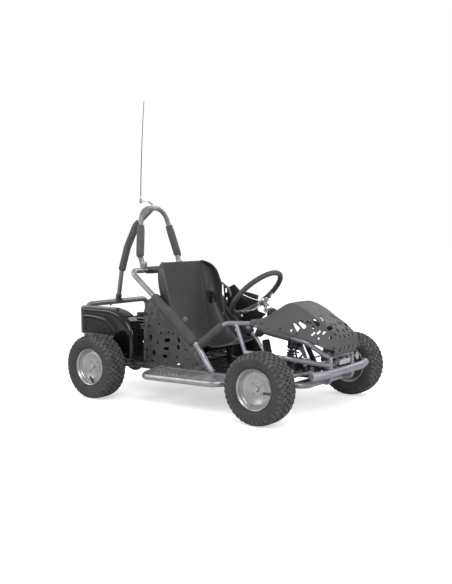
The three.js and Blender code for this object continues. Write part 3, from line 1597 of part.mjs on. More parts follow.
// Tank and muffler, each a plate outline with cut corners raised to its height
function cutCorners(nearX, farX, nearY, farY, corner) {
  return [
    [nearX + corner, nearY], [farX - corner, nearY], [farX, nearY + corner], [farX, farY - corner],
    [farX - corner, farY], [nearX + corner, farY], [nearX, farY - corner], [nearX, nearY + corner],
  ];
}
const tankOutline = cutCorners(
  tankRearX, tankRearX + tankLength, tankRight, tankRight + tankWidth, tankCorner,
);
const filler = vec(fillerX, fillerY, tankBottom + tankHeight);
add(
  'fuel_tank',
  weld(
    floorPlate(tankOutline, tankBottom, tankHeight),
    floorPlate(inset(tankOutline, -tankSeam), tankBottom + tankHeight / 2, tankSeam),
    rod(filler.clone().add(down(tankSeam)), filler.clone().add(down(-fillerHeight)), fillerRadius),
  ),
  darkPlastic(),
);
const capBottom = filler.clone().add(down(-gap));
add(
  'fuel_cap',
  cut(
    rod(capBottom, capBottom.clone().add(down(-fuelCapHeight)), fuelCapRadius),
    rod(
      capBottom.clone().add(down(fillerHeight)), capBottom.clone().add(down(-fillerHeight)),
      boreFor(fillerRadius),
    ),
  ),
  darkPlastic(),
);
const mufflerFrontX = mufflerRearX + mufflerLength;
const headRoom = moved(
  block(
    vec(0, 0, (cylinderLength + gap) / 2), vec(finSize + overrun, finSize + overrun, cylinderLength + gap),
  ),
  cylinderFrame,
);
const mufflerPort = vec(mufflerFrontX, 0, mufflerBottom + mufflerHeight / 2);
const tailSpot = vec(mufflerRearX, mufflerHalfWidth / 2, mufflerBottom + mufflerCorner);
add(
  'muffler',
  weld(
    floorPlate(
      cutCorners(mufflerRearX, mufflerFrontX, -mufflerHalfWidth, mufflerHalfWidth, mufflerCorner),
      mufflerBottom,
      mufflerHeight,
    ),
    cut(
      rod(
        mufflerPort.clone().add(vec(-mufflerCorner, 0, 0)),
        mufflerPort.clone().add(vec(exhaustLength, 0, 0)), exhaustRadius,
      ),
      headRoom,
    ),
    rod(
      tailSpot.clone().add(vec(tailLength, 0, 0)), tailSpot.clone().add(vec(-tailLength, 0, 0)), tailRadius,
    ),
  ),
  blackSteel(),
);

// Chain drive
const axle = vec(0, 0, axleHeight);
const onAxle = (y) => axle.clone().setY(y);
function toothed(centre, radius, teeth) {
  const spots = Array.from({ length: 2 * teeth }, (_, i) => {
    const angle = i / teeth * Math.PI;
    const reach = radius - (i % 2) * toothDepth;
    return [centre.x + reach * Math.cos(angle), centre.z + reach * Math.sin(angle)];
  });
  return sidePlate(spots, chainY - sprocketThickness / 2, chainY + sprocketThickness / 2);
}
const clutchBore = rod(atCrank(chainY * 2), atCrank(0), crankRadius + runningClearance);
const drumEnd = chainY + sprocketThickness + clutchDrumGap;
add(
  'clutch_sprocket',
  cut(
    weld(
      rod(atCrank(drumEnd + clutchDrumLength), atCrank(drumEnd), clutchDrumRadius),
      rod(atCrank(drumEnd + clutchDrumLength), atCrank(chainY), capRadius),
      toothed(crank, clutchSprocketRadius, clutchTeeth),
    ),
    clutchBore,
  ),
  blackSteel(),
);
const axleBoreAt = (near, far) => rod(onAxle(near), onAxle(far), axleRadius + gap);
add(
  'axle_sprocket',
  cut(
    weld(
      rod(onAxle(chainY), onAxle(chainY + sprocketHubLength), sprocketHub),
      toothed(axle, axleSprocketRadius, axleTeeth),
    ),
    axleBoreAt(chainY * 2, 0),
  ),
  steelGrey(),
);

// A loop round the two sprockets: arcs joined by their outer tangents
function driveLoop(growth) {
  const span = Math.hypot(crankX, crankHeight - axleHeight);
  const heading = Math.atan2(crankHeight - axleHeight, crankX);
  const turn = Math.acos((axleSprocketRadius - clutchSprocketRadius) / span);
  const arc = (centre, radius, from, to, steps) => Array.from({ length: steps + 1 }, (_, i) => {
    const angle = mix(from, to, i / steps);
    return [centre.x + (radius + growth) * Math.cos(angle), centre.z + (radius + growth) * Math.sin(angle)];
  });
  return [
    ...arc(axle, axleSprocketRadius, heading + turn, heading + 2 * Math.PI - turn, chainSteps * 2),
    ...arc(crank, clutchSprocketRadius, heading - turn, heading + turn, chainSteps),
  ];
}
const [chainNear, chainFar] = [chainY - chainWidth / 2, chainY + chainWidth / 2];
add(
  'chain',
  cut(
    sidePlate(driveLoop(chainClearance + chainHeight), chainNear, chainFar),
    sidePlate(driveLoop(chainClearance), chainNear - overrun, chainFar + overrun),
  ),
  steelGrey(),
);

// Brake
add(
  'brake_disc',
  cut(
    weld(
      rod(onAxle(brakeY - sprocketHubLength), onAxle(brakeY), sprocketHub),
      rod(
        onAxle(brakeY - brakeDiscThickness / 2), onAxle(brakeY + brakeDiscThickness / 2), brakeDiscRadius,
        rimSegments,
      ),
    ),
    axleBoreAt(0, brakeY * 2),
  ),
  silver(),
);
const caliperFrame = new THREE.Matrix4().makeRotationY(Math.PI / 4).setPosition(axle);
const caliperBody = moved(
  block(vec(0, brakeY, brakeDiscRadius - caliperInset), vec(caliperLength, caliperWidth, caliperHeight)),
  caliperFrame,
);
const caliperArm = sidePlate(
  caliperArmShares.map(([x, z]) => [x * engineTubeRearX, axleHeight + z * engineTubeRearX]),
  brakeY + caliperWidth / 2 - earThickness - pedalPlate, brakeY + caliperWidth / 2 - earThickness,
);
const discRoom = brakeDiscThickness / 2 + earClearance;
add(
  'brake_caliper',
  largest(cut(
    weld(caliperBody, caliperArm),
    rod(
      onAxle(brakeY - discRoom), onAxle(brakeY + discRoom), brakeDiscRadius + 2 * earClearance, rimSegments,
    ),
    weld(engineRuns.map((run) => tube(run, gap))),
  )),
  castMetal(),
);

// Rear axle
const axleEnd = track / 2 + kingpinRadius;
const collarFace = frameHalfWidth - bearingLength / 2 - gap;
const collar = rod(onAxle(collarFace - collarWidth), onAxle(collarFace), collarRadius);
add('rear_axle', weld(rod(onAxle(-axleEnd), onAxle(axleEnd), axleRadius), onBothSides(collar)), silver());

// Tyre: a hollow carcass open to the rim, with a middle row of lugs and two tilted shoulder rows
const treadRadius = tyreRadius - treadDepth;
const beadSeat = (beadRadius + gap) / Math.cos(Math.PI / tyreSegments);
const tyreSpot = ([radiusShare, widthShare]) => [
  mix(beadSeat, treadRadius, radiusShare), widthShare * tyreWidth / 2,
];
const otherSide = (spots) => spots.map(([radius, width]) => [radius, -width]).reverse();
const tyreProfile = [
  ...tyreOuterShares, ...otherSide(tyreOuterShares), ...otherSide(tyreInnerShares).reverse(),
  ...tyreInnerShares.toReversed(),
].map(tyreSpot);
function lug(turn, place, drop, tilt) {
  const height = treadDepth + lugRoot;
  const geometry = new THREE.BoxGeometry(lugLength, lugWidth, height).translate(0, 0, height / 2);
  geometry.rotateX(tilt * degrees).translate(0, place, drop - tyreRadius).rotateY(turn * 2 * Math.PI);
  return solid(geometry);
}
const shoulderPlace = tyreWidth / 2 - lugWidth / 2 - lugRoot;
const lugs = Array.from({ length: lugCount }, (_, i) => [
  lug(i / lugCount, 0, 0, 0),
  lug((i + 0.5) / lugCount, shoulderPlace, shoulderDrop, shoulderTiltDegrees),
  lug((i + 0.5) / lugCount, -shoulderPlace, shoulderDrop, -shoulderTiltDegrees),
]).flat();
const tyre = weld(turned(tyreProfile, tyreSegments), lugs);

// Rim: a deep dish with its hub and dust cap, bored for a spindle or for the live axle
const rimHalf = rimWidth / 2;
function rimWithBore(bore) {
  return turned([
    [0, capTop], [capRadius - capBevel, capTop], [capRadius, capShoulder], [hubRadius, hubCapDepth],
    [hubRadius, 0],
    [beadRadius * discShare, -rimWall], [beadRadius - rimWall - rimStep, 0],
    [beadRadius - rimWall + rimStep, rimHalf],
    [rimRadius, rimHalf], [rimRadius, rimHalf - rimWall], [beadRadius, rimHalf - 1.5 * rimWall],
    [beadRadius, 1.5 * rimWall - rimHalf], [rimRadius, rimWall - rimHalf], [rimRadius, -rimHalf],
    [beadRadius - rimWall, -rimHalf], [beadRadius - rimWall - rimStep, -1.5 * rimWall],
    [hubRadius, -1.5 * rimWall],
    [hubRadius - rimWall / 2, hubCapDepth - hubLength], [bore, hubCapDepth - hubLength], [bore, boreEnd],
    [0, boreEnd],
  ], rimSegments);
}
const wheels = [
  ['front', wheelbase, rimWithBore(boreFor(spindleRadius, rimSegments))],
  ['rear', 0, rimWithBore(boreFor(axleRadius, rimSegments))],
];
wheels.forEach(([end, x, rimPiece]) => sides.forEach(([name, side]) => {
  const wheel = new THREE.Group();
  wheel.position.set(x, side * track / 2, axleHeight);
  wheel.rotation.z = side < 0 ? Math.PI : 0;
  kart.add(wheel);
  add(`${end}_tyre_${name}`, tyre, rubber(), wheel);
  add(`${end}_rim_${name}`, rimPiece, silver(), wheel);
}));

kart.position.x = -(bumperFrontX + bumperRadius + rearRailEndX) / 2;

export default kart;
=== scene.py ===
import math

import bmesh
import bpy
import numpy as np
from mathutils import Matrix, Vector


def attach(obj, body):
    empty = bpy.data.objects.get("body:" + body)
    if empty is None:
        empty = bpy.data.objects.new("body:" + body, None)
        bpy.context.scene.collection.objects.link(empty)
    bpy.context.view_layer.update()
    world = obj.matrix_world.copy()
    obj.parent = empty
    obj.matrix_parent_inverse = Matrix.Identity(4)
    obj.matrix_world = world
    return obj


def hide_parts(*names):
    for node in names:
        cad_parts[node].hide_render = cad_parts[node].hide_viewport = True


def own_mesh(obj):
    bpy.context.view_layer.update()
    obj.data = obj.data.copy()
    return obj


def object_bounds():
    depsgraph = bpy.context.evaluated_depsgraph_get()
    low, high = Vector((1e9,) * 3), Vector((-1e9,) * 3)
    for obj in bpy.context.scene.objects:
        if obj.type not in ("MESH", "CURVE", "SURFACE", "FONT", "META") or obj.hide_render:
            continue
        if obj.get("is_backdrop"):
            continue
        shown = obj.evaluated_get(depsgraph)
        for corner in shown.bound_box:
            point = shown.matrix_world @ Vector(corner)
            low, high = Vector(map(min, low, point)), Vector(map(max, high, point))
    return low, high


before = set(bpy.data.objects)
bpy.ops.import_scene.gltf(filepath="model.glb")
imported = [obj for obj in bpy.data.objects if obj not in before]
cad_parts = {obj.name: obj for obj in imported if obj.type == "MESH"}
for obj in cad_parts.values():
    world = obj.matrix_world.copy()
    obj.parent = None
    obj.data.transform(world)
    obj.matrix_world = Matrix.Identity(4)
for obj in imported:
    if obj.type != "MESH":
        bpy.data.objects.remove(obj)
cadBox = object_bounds()
print("frame loaded:", len(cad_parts), "nodes")

# Stations are millimetres from the rear axle, as X forward, Y to the driver's left and Z up
layout = {"originStation": 480.0, "metre": 0.001, "halfTrack": 435.0, "sides": (("right", -1), ("left", 1))}
halfWidth, railHeight, axleHeight = 250.0, 158.0, 165.0
xAxis, yAxis, zAxis = (1, 0, 0), (0, 1, 0), (0, 0, 1)
detail = {"tubeSides": 20, "bendSteps": 9, "ringSteps": 72, "merge": 2e-6}


# Shapes. A shell is an array of points, an array of four-cornered faces and a list of many-cornered faces.

def unit(vectors):  # each vector over its own length
    return vectors / np.linalg.norm(vectors, axis=-1, keepdims=True)


def joined(*shells):  # points stacked, face numbers moved on by the points before them
    starts = np.cumsum([0] + [len(shell[0]) for shell in shells])
    points = np.vstack([shell[0] for shell in shells])
    quads = np.vstack([shell[1].reshape(-1, 4) + start for shell, start in zip(shells, starts)])
    polys = [np.asarray(poly) + start for shell, start in zip(shells, starts) for poly in shell[2]]
    return points, quads, polys


def onCircle(angle):
    return np.stack([np.cos(angle), np.sin(angle)], -1)


def edgeOf(grid):  # the outermost rows and columns, once round
    return np.concatenate([grid[0, :-1], grid[:-1, -1], grid[-1, :0:-1], grid[:0:-1, 0]])


def gridShell(grid, closeRows=False, closeColumns=False):  # each cell of the grid gives one face
    rows, columns = grid.shape[:2]
    i, j = np.meshgrid(
        np.arange(rows if closeRows else rows - 1), np.arange(columns if closeColumns else columns - 1),
        indexing="ij",
    )
    k, m = (i + 1) % rows, (j + 1) % columns
    corners = [i * columns + j, k * columns + j, k * columns + m, i * columns + m]
    return grid.reshape(-1, 3), np.stack(corners, -1).reshape(-1, 4), []


def slabShell(upper, lower):  # two grids of one size, joined round their edge
    rows, columns = upper.shape[:2]
    top, bottom = gridShell(upper), gridShell(lower)
    numbers = np.arange(rows * columns).reshape(rows, columns)
    loop = edgeOf(numbers)
    after = np.roll(loop, -1)
    rim = np.stack([loop, after, after + rows * columns, loop + rows * columns], -1)
    points, quads, polys = joined(top, bottom)
    return points, np.vstack([quads, rim]), polys


def blocks(grid):  # rings of corners, block by block: walls between the rings, and both ends closed
    numbers = np.arange(grid[..., 0].size).reshape(grid.shape[:3])
    after = np.roll(numbers, -1, 2)
    quads = np.stack([numbers[:, :-1], after[:, :-1], after[:, 1:], numbers[:, 1:]], -1).reshape(-1, 4)
    return grid.reshape(-1, 3), quads, [*numbers[:, -1], *numbers[:, 0, ::-1]]


def moved(shell, matrix=None, offset=(0, 0, 0)):  # points turned by the matrix, then shifted
    points = shell[0] if matrix is None else shell[0] @ np.asarray(matrix).T
    return points + np.asarray(offset, float), shell[1], shell[2]


def mirrored(shell):  # Y changes sign
    return shell[0] * [1, -1, 1], shell[1][:, ::-1], [poly[::-1] for poly in shell[2]]


def onSide(side, shell):
    return shell if side > 0 else mirrored(shell)


def onBothSides(*shells):
    return joined(*shells, *[mirrored(shell) for shell in shells])


def turn(axis, degrees):  # rotation matrix about X, Y or Z
    return np.array(Matrix.Rotation(math.radians(degrees), 3, axis))


def bent(corners, bend, steps=None):  # straight lengths, each inner corner turned to an arc that touches both
    steps = steps or detail["bendSteps"]
    corners = np.asarray(corners, float)
    parts = [corners[:1]]
    for before, corner, after in zip(corners, corners[1:], corners[2:]):
        arms = np.array([before - corner, after - corner])
        room = np.linalg.norm(arms, axis=1).min() / 2
        arms = unit(arms)
        angle = math.pi - math.acos(np.clip(arms[0] @ arms[1], -1, 1))
        if angle < 0.01:
            parts.append(corner[None])
            continue
        reach = min(bend * math.tan(angle / 2), room)
        centre = corner + unit(arms.sum(0)) * reach / math.sin(angle / 2)
        spokes = corner + arms * reach - centre
        share = np.linspace(0, 1, steps + 1)[:, None]
        arc = (np.sin((1 - share) * angle) * spokes[0] + np.sin(share * angle) * spokes[1]) / math.sin(angle)
        parts.append(centre + arc)
    return np.vstack([*parts, corners[-1:]])


def headings(path, closed=False):  # the mean direction of the two lengths that meet at each point
    steps = unit(np.roll(path, -1, 0) - path) if closed else unit(np.diff(path, axis=0))
    if closed:
        return unit(steps + np.roll(steps, 1, 0))
    return unit(np.vstack([steps[:1], steps[:-1] + steps[1:], steps[-1:]]))


def ringAxes(path, closed=False):  # two directions square to the path, carried along it without twist
    heading = headings(path, closed)
    side = np.zeros_like(heading)
    side[0] = unit(np.cross(heading[0], np.eye(3)[np.abs(heading[0]).argmin()]))
    for k in range(1, len(path)):
        side[k] = unit(side[k - 1] - heading[k] * (heading[k] @ side[k - 1]))
    return side, np.cross(heading, side)


def rings(path, radius, sides=None, closed=False):  # circles of the radius round each point of the path
    sides = sides or detail["tubeSides"]
    side, up = ringAxes(path, closed)
    angle = np.linspace(0, 2 * math.pi, sides, endpoint=False)[None, :, None]
    radius = np.broadcast_to(radius, len(path))[:, None, None]
    return path[:, None] + radius * (np.cos(angle) * side[:, None] + np.sin(angle) * up[:, None])


def tube(path, radius, sides=None, closed=False):
    grid = rings(np.asarray(path, float), radius, sides, closed)
    points, quads, polys = gridShell(grid, closeRows=closed, closeColumns=True)
    if closed:
        return points, quads, polys
    first = np.arange(grid.shape[1])
    return points, quads, [first[::-1], first + len(points) - len(first)]


def sleeve(path, outer, inner, sides=None):  # a hollow tube: the outer skin, then the bore back again
    path = np.asarray(path, float)
    grid = np.concatenate([rings(path, outer, sides), rings(path, inner, sides)[::-1]])
    return gridShell(grid, closeRows=True, closeColumns=True)


def pipe(corners, radius, bend=55, sides=None):
    return tube(bent(corners, bend), radius, sides)


def rod(start, end, radius, sides=None):
    return tube(np.array([start, end], float), radius, sides)


def spokesRound(axis, angle):  # unit vectors square to the axis, one at each angle
    axis = unit(np.asarray(axis, float))
    first = unit(np.cross(axis, np.eye(3)[np.abs(axis).argmin()]))
    return np.cos(angle)[:, None] * first + np.sin(angle)[:, None] * np.cross(axis, first)


# the profile, as radius and place on the axis, spun round it
def turned(profile, centre=(0, 0, 0), axis=yAxis, sides=None, closed=False):
    sides = sides or detail["ringSteps"]
    axis = unit(np.asarray(axis, float))
    spokes = spokesRound(axis, (np.arange(sides) + 0.5) / sides * 2 * math.pi)
    profile = np.asarray(profile, float)
    grid = np.asarray(centre, float) + profile[:, None, 1:] * axis + profile[:, None, :1] * spokes[None]
    return gridShell(grid, closeRows=closed, closeColumns=True)


def bush(inner, outer, low, high, centre=(0, 0, 0), axis=yAxis, sides=32):  # a ring of square section
    return turned([(inner, low), (outer, low), (outer, high), (inner, high)], centre, axis, sides,
        closed=True)


def disc(radius, low, high, centre, axis=yAxis, sides=36):
    return turned([(0, low), (radius, low), (radius, high), (0, high)], centre, axis, sides)


def prism(outline, low, high, plane="xz"):  # an outline raised between two levels, ends closed
    outline = np.asarray(outline, float)
    order = {"xz": (0, 2, 1), "xy": (0, 1, 2), "yz": (1, 2, 0)}[plane]
    layers = np.zeros((2, len(outline), 3))
    layers[..., order[0]] = outline[:, 0]
    layers[..., order[1]] = outline[:, 1]
    layers[0, :, order[2]] = low
    layers[1, :, order[2]] = high
    points, quads, _ = gridShell(layers, closeColumns=True)
    first = np.arange(len(outline))
    return points, quads, [first[::-1], first + len(outline)]


# the outline times each level's share, at its height, with both ends closed
def stacked(outline, middle, levels):
    rows = [
        np.concatenate([outline * share + middle, np.full((len(outline), 1), z)], 1) for share, z in levels
    ]
    return blocks(np.array(rows)[None])


def between(start, end, share):
    return np.asarray(start, float) + share * (np.asarray(end, float) - np.asarray(start, float))


def box(middle, size):
    half = np.asarray(size, float) / 2
    outline = np.array([[-1, -1], [1, -1], [1, 1], [-1, 1]]) * half[:2]
    return moved(prism(outline, -half[2], half[2], "xy"), offset=middle)


def slotOutline(length, width, corner, steps=4):  # a rectangle whose corners are quarter circles
    angle = np.linspace(0, math.pi / 2, steps + 1)
    arcs = [
        np.stack([sx * (length / 2 - corner) + corner * np.cos(angle + start),
            sy * (width / 2 - corner) + corner * np.sin(angle + start)], -1)
        for sx, sy, start in ((1, 1, 0), (-1, 1, math.pi / 2), (-1, -1, math.pi), (1, -1, 1.5 * math.pi))
    ]
    return np.vstack(arcs)


def bolt(spot, axis, size, length=0):  # washer, six-sided head and a round end
    spot, axis = np.asarray(spot, float), unit(np.asarray(axis, float))
    washer = turned([(0, -length), (size * 1.45, -length), (size * 1.45, size * 0.28), (0, size * 0.28)],
        spot, axis, 18)
    head = turned([(0, 0), (size, 0), (size, size * 0.95), (size * 0.8, size * 1.1), (0, size * 1.1)], spot,
        axis, 6)
    end = turned([(0, 0), (size * 0.5, 0), (size * 0.5, size * 1.5), (0, size * 1.55)], spot, axis, 12)
    return joined(washer, head, end)


def bead(spot, axis, radius, width=2.6, lumps=17):  # a weld: a ring whose thickness rises and falls
    angle = np.linspace(0, 2 * math.pi, 51, endpoint=False)
    path = np.asarray(spot, float) + radius * spokesRound(axis, angle)
    return tube(path, width * (1 + 0.16 * np.sin(lumps * angle)), 8, closed=True)


def splineAt(values, share):  # a smooth curve through the rows, each row's slope taken from its neighbours
    values = np.asarray(values, float)
    place = np.clip(np.asarray(share, float), 0, 1) * (len(values) - 1)
    low = np.minimum(place.astype(int), len(values) - 2)
    part = (place - low)[..., None]
    before, after = values[np.maximum(low - 1, 0)], values[np.minimum(low + 2, len(values) - 1)]
    start, end = values[low], values[low + 1]
    slopeA, slopeB = (end - before) / 2, (after - start) / 2
    cube = (2 * start - 2 * end + slopeA + slopeB) * part ** 3
    square = (-3 * start + 3 * end - 2 * slopeA - slopeB) * part ** 2
    return cube + square + slopeA * part + start


def curved(start, corner, end, share):  # leaves the start towards the corner and meets the end from it
    return (1 - share) ** 2 * start + 2 * share * (1 - share) * corner + share ** 2 * end


def cellAt(grid, u, t):  # the numbers of the cell nearest to u, from -1 to 1, and t, from 0 to 1
    return round((u + 1) / 2 * (grid.shape[0] - 1)), round(t * (grid.shape[1] - 1))


def gridNormals(grid):  # the cross product of the two directions of the grid
    return unit(np.cross(np.gradient(grid, axis=0), np.gradient(grid, axis=1)))


# Finishes

def linear(colour):  # a colour as it looks on screen, as the shader counts it
    channels = np.array([colour >> 16 & 255, colour >> 8 & 255, colour & 255]) / 255
    return [*np.where(channels <= 0.04045, channels / 12.92, ((channels + 0.055) / 1.055) ** 2.4), 1.0]


# two tones mixed by a broad noise, roughness by a middle one, relief by a fine one
def makeFinish(name, look):
    material = bpy.data.materials.new(name)
    material.use_nodes = True
    nodes, links = material.node_tree.nodes, material.node_tree.links
    shader = nodes["Principled BSDF"]
    place = nodes.new("ShaderNodeTexCoord")

    def noise(scale, fine, stretch=(1, 1, 1)):
        mapping = nodes.new("ShaderNodeMapping")
        mapping.inputs["Scale"].default_value = stretch
        texture = nodes.new("ShaderNodeTexNoise")
        texture.inputs["Scale"].default_value = scale
        texture.inputs["Detail"].default_value = fine
        links.new(place.outputs["Object"], mapping.inputs["Vector"])
        links.new(mapping.outputs["Vector"], texture.inputs["Vector"])
        return texture.outputs["Fac"]

    def ramp(source, low, high, first, last):
        spread = nodes.new("ShaderNodeMapRange")
        for socket, value in zip(("From Min", "From Max", "To Min", "To Max"), (low, high, first, last)):
            spread.inputs[socket].default_value = value
        links.new(source, spread.inputs["Value"])
        return spread.outputs["Result"]

    def blendTone(amount, under, over):
        tone = nodes.new("ShaderNodeMix")
        tone.data_type = "RGBA"
        links.new(amount, tone.inputs["Factor"])
        for socket, value in ((tone.inputs[6], under), (tone.inputs[7], over)):
            if isinstance(value, int):
                socket.default_value = linear(value)
            else:
                links.new(value, socket)
        return tone.outputs[2]

    broad = noise(look.get("toneScale", 14), 4, look.get("stretch", (1, 1, 1)))
    colour = blendTone(ramp(broad, 0.35, 0.65, 0, 1), look["colour"], look["second"])
    if "wear" in look:  # rubbed edges, or dust in the hollows, found from how sharply the surface turns
        turnOf = nodes.new("ShaderNodeNewGeometry").outputs["Pointiness"]
        rubbed = nodes.new("ShaderNodeMath")
        rubbed.operation = "MULTIPLY"
        links.new(ramp(turnOf, *look.get("wearRange", (0.53, 0.6)), 0, look.get("wearAmount", 0.6)),
            rubbed.inputs[0])
        links.new(ramp(noise(look.get("wearScale", 40), 3), 0.35, 0.6, 0, 1), rubbed.inputs[1])
        colour = blendTone(rubbed.outputs[0], colour, look["wear"])
    links.new(colour, shader.inputs["Base Color"])
    rough = look["rough"]
    spread = look.get("roughSpread", 0.06)
    middle = noise(look.get("roughScale", 45), 3)
    links.new(ramp(middle, 0.3, 0.7, rough - spread, rough + spread), shader.inputs["Roughness"])
    shader.inputs["Metallic"].default_value = look["metal"]
    if "coat" in look:
        shader.inputs["Coat Weight"].default_value = look["coat"]
        shader.inputs["Coat Roughness"].default_value = 0.05
    if "specular" in look:
        shader.inputs["Specular IOR Level"].default_value = look["specular"]
    if "sheen" in look:
        shader.inputs["Sheen Weight"].default_value = look["sheen"]
    relief = nodes.new("ShaderNodeBump")
    relief.inputs["Strength"].default_value = look.get("reliefStrength", 0.25)
    relief.inputs["Distance"].default_value = look.get("relief", 0.0001)
    height = noise(look.get("reliefScale", 420), 3, look.get("grain", (1, 1, 1)))
    if look.get("weave"):  # ribs across a strap
        ribs = nodes.new("ShaderNodeTexWave")
        ribs.bands_direction = "Y"
        ribs.inputs["Scale"].default_value = look["weave"]
        links.new(place.outputs["Object"], ribs.inputs["Vector"])
        height = ribs.outputs["Fac"]
    links.new(height, relief.inputs["Height"])
    links.new(relief.outputs["Normal"], shader.inputs["Normal"])
    return material


lookRows = {  # name: two tones, roughness, metal, slot, then what differs from the usual
    "greyTube": (0x828286, 0x727276, 0.34, 0.4, "frame_dark", {"reliefScale": 900, "wear": 0x9c9ca0}),
    "darkTube": (0x58585c, 0x4b4b4f, 0.36, 0.35, "frame_dark", {"reliefScale": 900, "wear": 0x8a8a8e}),
    "silverPaint": (0x8c8a93, 0x7b7a84, 0.34, 0.45, "frame_silver", {"reliefScale": 800, "wear": 0xb8b6c0}),
    "bareTube": (0xa5a5a6, 0x8e8e90, 0.33, 0.55, "frame_silver", {"reliefScale": 900}),
    "foamSkin": (0x4d4d4e, 0x434344, 0.93, 0.0, "foam",
        {"roughSpread": 0.03, "toneScale": 22, "relief": 0.0009, "reliefScale": 620, "reliefStrength": 0.5}),
    "rollFoam": (0x5a5a5c, 0x4e4e50, 0.9, 0.0, "foam",
        {"roughSpread": 0.03, "toneScale": 22, "relief": 0.0009, "reliefScale": 620, "reliefStrength": 0.5}),
    "seatPlastic": (0x343435, 0x2e2e2f, 0.48, 0.0, "moulded_plastic",
        {"relief": 0.0003, "reliefScale": 1400, "reliefStrength": 0.35, "toneScale": 7}),
    "panelPlastic": (0x3e3e3f, 0x373738, 0.58, 0.0, "moulded_plastic",
        {"relief": 0.0003, "reliefScale": 1200, "reliefStrength": 0.35, "toneScale": 9, "wear": 0x7a7a7b,
            "wearRange": (0.54, 0.62), "wearAmount": 0.5}),
    "hoodPlastic": (0x4a4a4b, 0x424243, 0.6, 0.0, "moulded_plastic",
        {"relief": 0.0003, "reliefScale": 1200, "reliefStrength": 0.3, "toneScale": 6}),
    "glossBlack": (0x0b0b0c, 0x060607, 0.12, 0.0, "gloss_black",
        {"roughSpread": 0.03, "specular": 0.55, "reliefScale": 60, "reliefStrength": 0.08}),
    "blackSteel": (0x1b1b1d, 0x141416, 0.45, 0.3, "black_steel", {"wear": 0x5a5a5c, "reliefScale": 700}),
    "tyreRubber": (0x3e3e3e, 0x343434, 0.88, 0.0, "tyre_rubber",
        {"roughSpread": 0.05, "toneScale": 18, "wear": 0x5c5c5b, "wearRange": (0.53, 0.62),
            "reliefScale": 380, "relief": 0.0005}),
    "rimSilver": (0xaeaeb0, 0xa0a0a2, 0.33, 0.7, "bright_steel", {"reliefScale": 1200, "toneScale": 9}),
    "treadPlate": (0xa2a2a4, 0x8e8e91, 0.36, 0.75, "bright_steel",
        {"grain": (0.1, 1, 1), "reliefScale": 500, "relief": 0.0002, "wear": 0xcacacc,
            "wearRange": (0.52, 0.58)}),
    "bareSteel": (0xb2b2b3, 0x9a9a9c, 0.3, 0.85, "bright_steel", {"reliefScale": 600}),
    "chrome": (0xe6e6e8, 0xd4d4d7, 0.16, 1.0, "chrome",
        {"roughSpread": 0.04, "reliefScale": 200, "relief": 5e-05}),
    "castMetal": (0x1e1e20, 0x161618, 0.62, 0.4, "cast_metal",
        {"reliefScale": 500, "relief": 0.0006, "reliefStrength": 0.5, "wear": 0x4a4a4c, "wearAmount": 0.4}),
    "webbing": (0x262627, 0x1e1e1f, 0.85, 0.0, "webbing",
        {"sheen": 0.4, "weave": 320, "relief": 0.0006, "reliefStrength": 0.5}),
    "gripFoam": (0x454546, 0x3a3a3b, 0.7, 0.0, "foam",
        {"reliefScale": 700, "relief": 0.0005, "reliefStrength": 0.4}),
}
looks = {
    name: {"colour": first, "second": second, "rough": rough, "metal": metal, "slot": slot, **more}
    for name, (first, second, rough, metal, slot, more) in lookRows.items()
}
finishes = {name: makeFinish(name, look) for name, look in looks.items()}
print("finishes made:", len(finishes))


def place(name, shell, finish, body="frame", nodes=(), bevel=0.0, sharp=34, cutters=None):
    # stations to metres, doubles merged and faces turned outward, then cut and bevelled, and the result kept
    points, quads, polys = shell
    metres = (points - [layout["originStation"], 0, 0]) * layout["metre"]
    mesh = bpy.data.meshes.new(name)
    mesh.from_pydata(metres.tolist(), [], quads.tolist() + [list(map(int, poly)) for poly in polys])
    work = bmesh.new()
    work.from_mesh(mesh)
    bmesh.ops.remove_doubles(work, verts=work.verts, dist=detail["merge"])
    bmesh.ops.recalc_face_normals(work, faces=work.faces)
    work.to_mesh(mesh)
    work.free()
    piece = bpy.data.objects.new(name, mesh)
    bpy.context.scene.collection.objects.link(piece)
    tool = None
    if cutters is not None:
        tool = place(name + "Cutter", cutters, None, body=None)
        hole = piece.modifiers.new("holes", "BOOLEAN")
        hole.operation, hole.solver, hole.object, hole.use_self = "DIFFERENCE", "EXACT", tool, True
    if bevel:
        edge = piece.modifiers.new("edge", "BEVEL")
        edge.width, edge.segments, edge.limit_method, edge.angle_limit = bevel, 2, "ANGLE", math.radians(38)
    if piece.modifiers:
        bpy.context.view_layer.update()
        settled = bpy.data.meshes.new_from_object(piece.evaluated_get(bpy.context.evaluated_depsgraph_get()))
        piece.modifiers.clear()
        piece.data = mesh = settled
    if tool:
        bpy.data.objects.remove(tool)
    if body is None:
        return piece
    mesh.materials.clear()
    mesh.materials.append(finishes[finish])
    mesh.shade_smooth()
    mesh.set_sharp_from_angle(angle=math.radians(sharp))
    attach(piece, body)
    if nodes:
        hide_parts(*nodes)
    return piece


# on the left, and mirrored on the right
def placeSides(name, shell, finish, body="frame", nodes=(), cutters=None, **more):
    pieces = []
    for word, side in layout["sides"]:
        holes = None if cutters is None else onSide(side, cutters)
        pieces.append(place(
            name.format(word), onSide(side, shell), finish, body.format(word),
            [node.format(word) for node in nodes],
            cutters=holes, **more,
        ))
    return pieces


# Camera and light

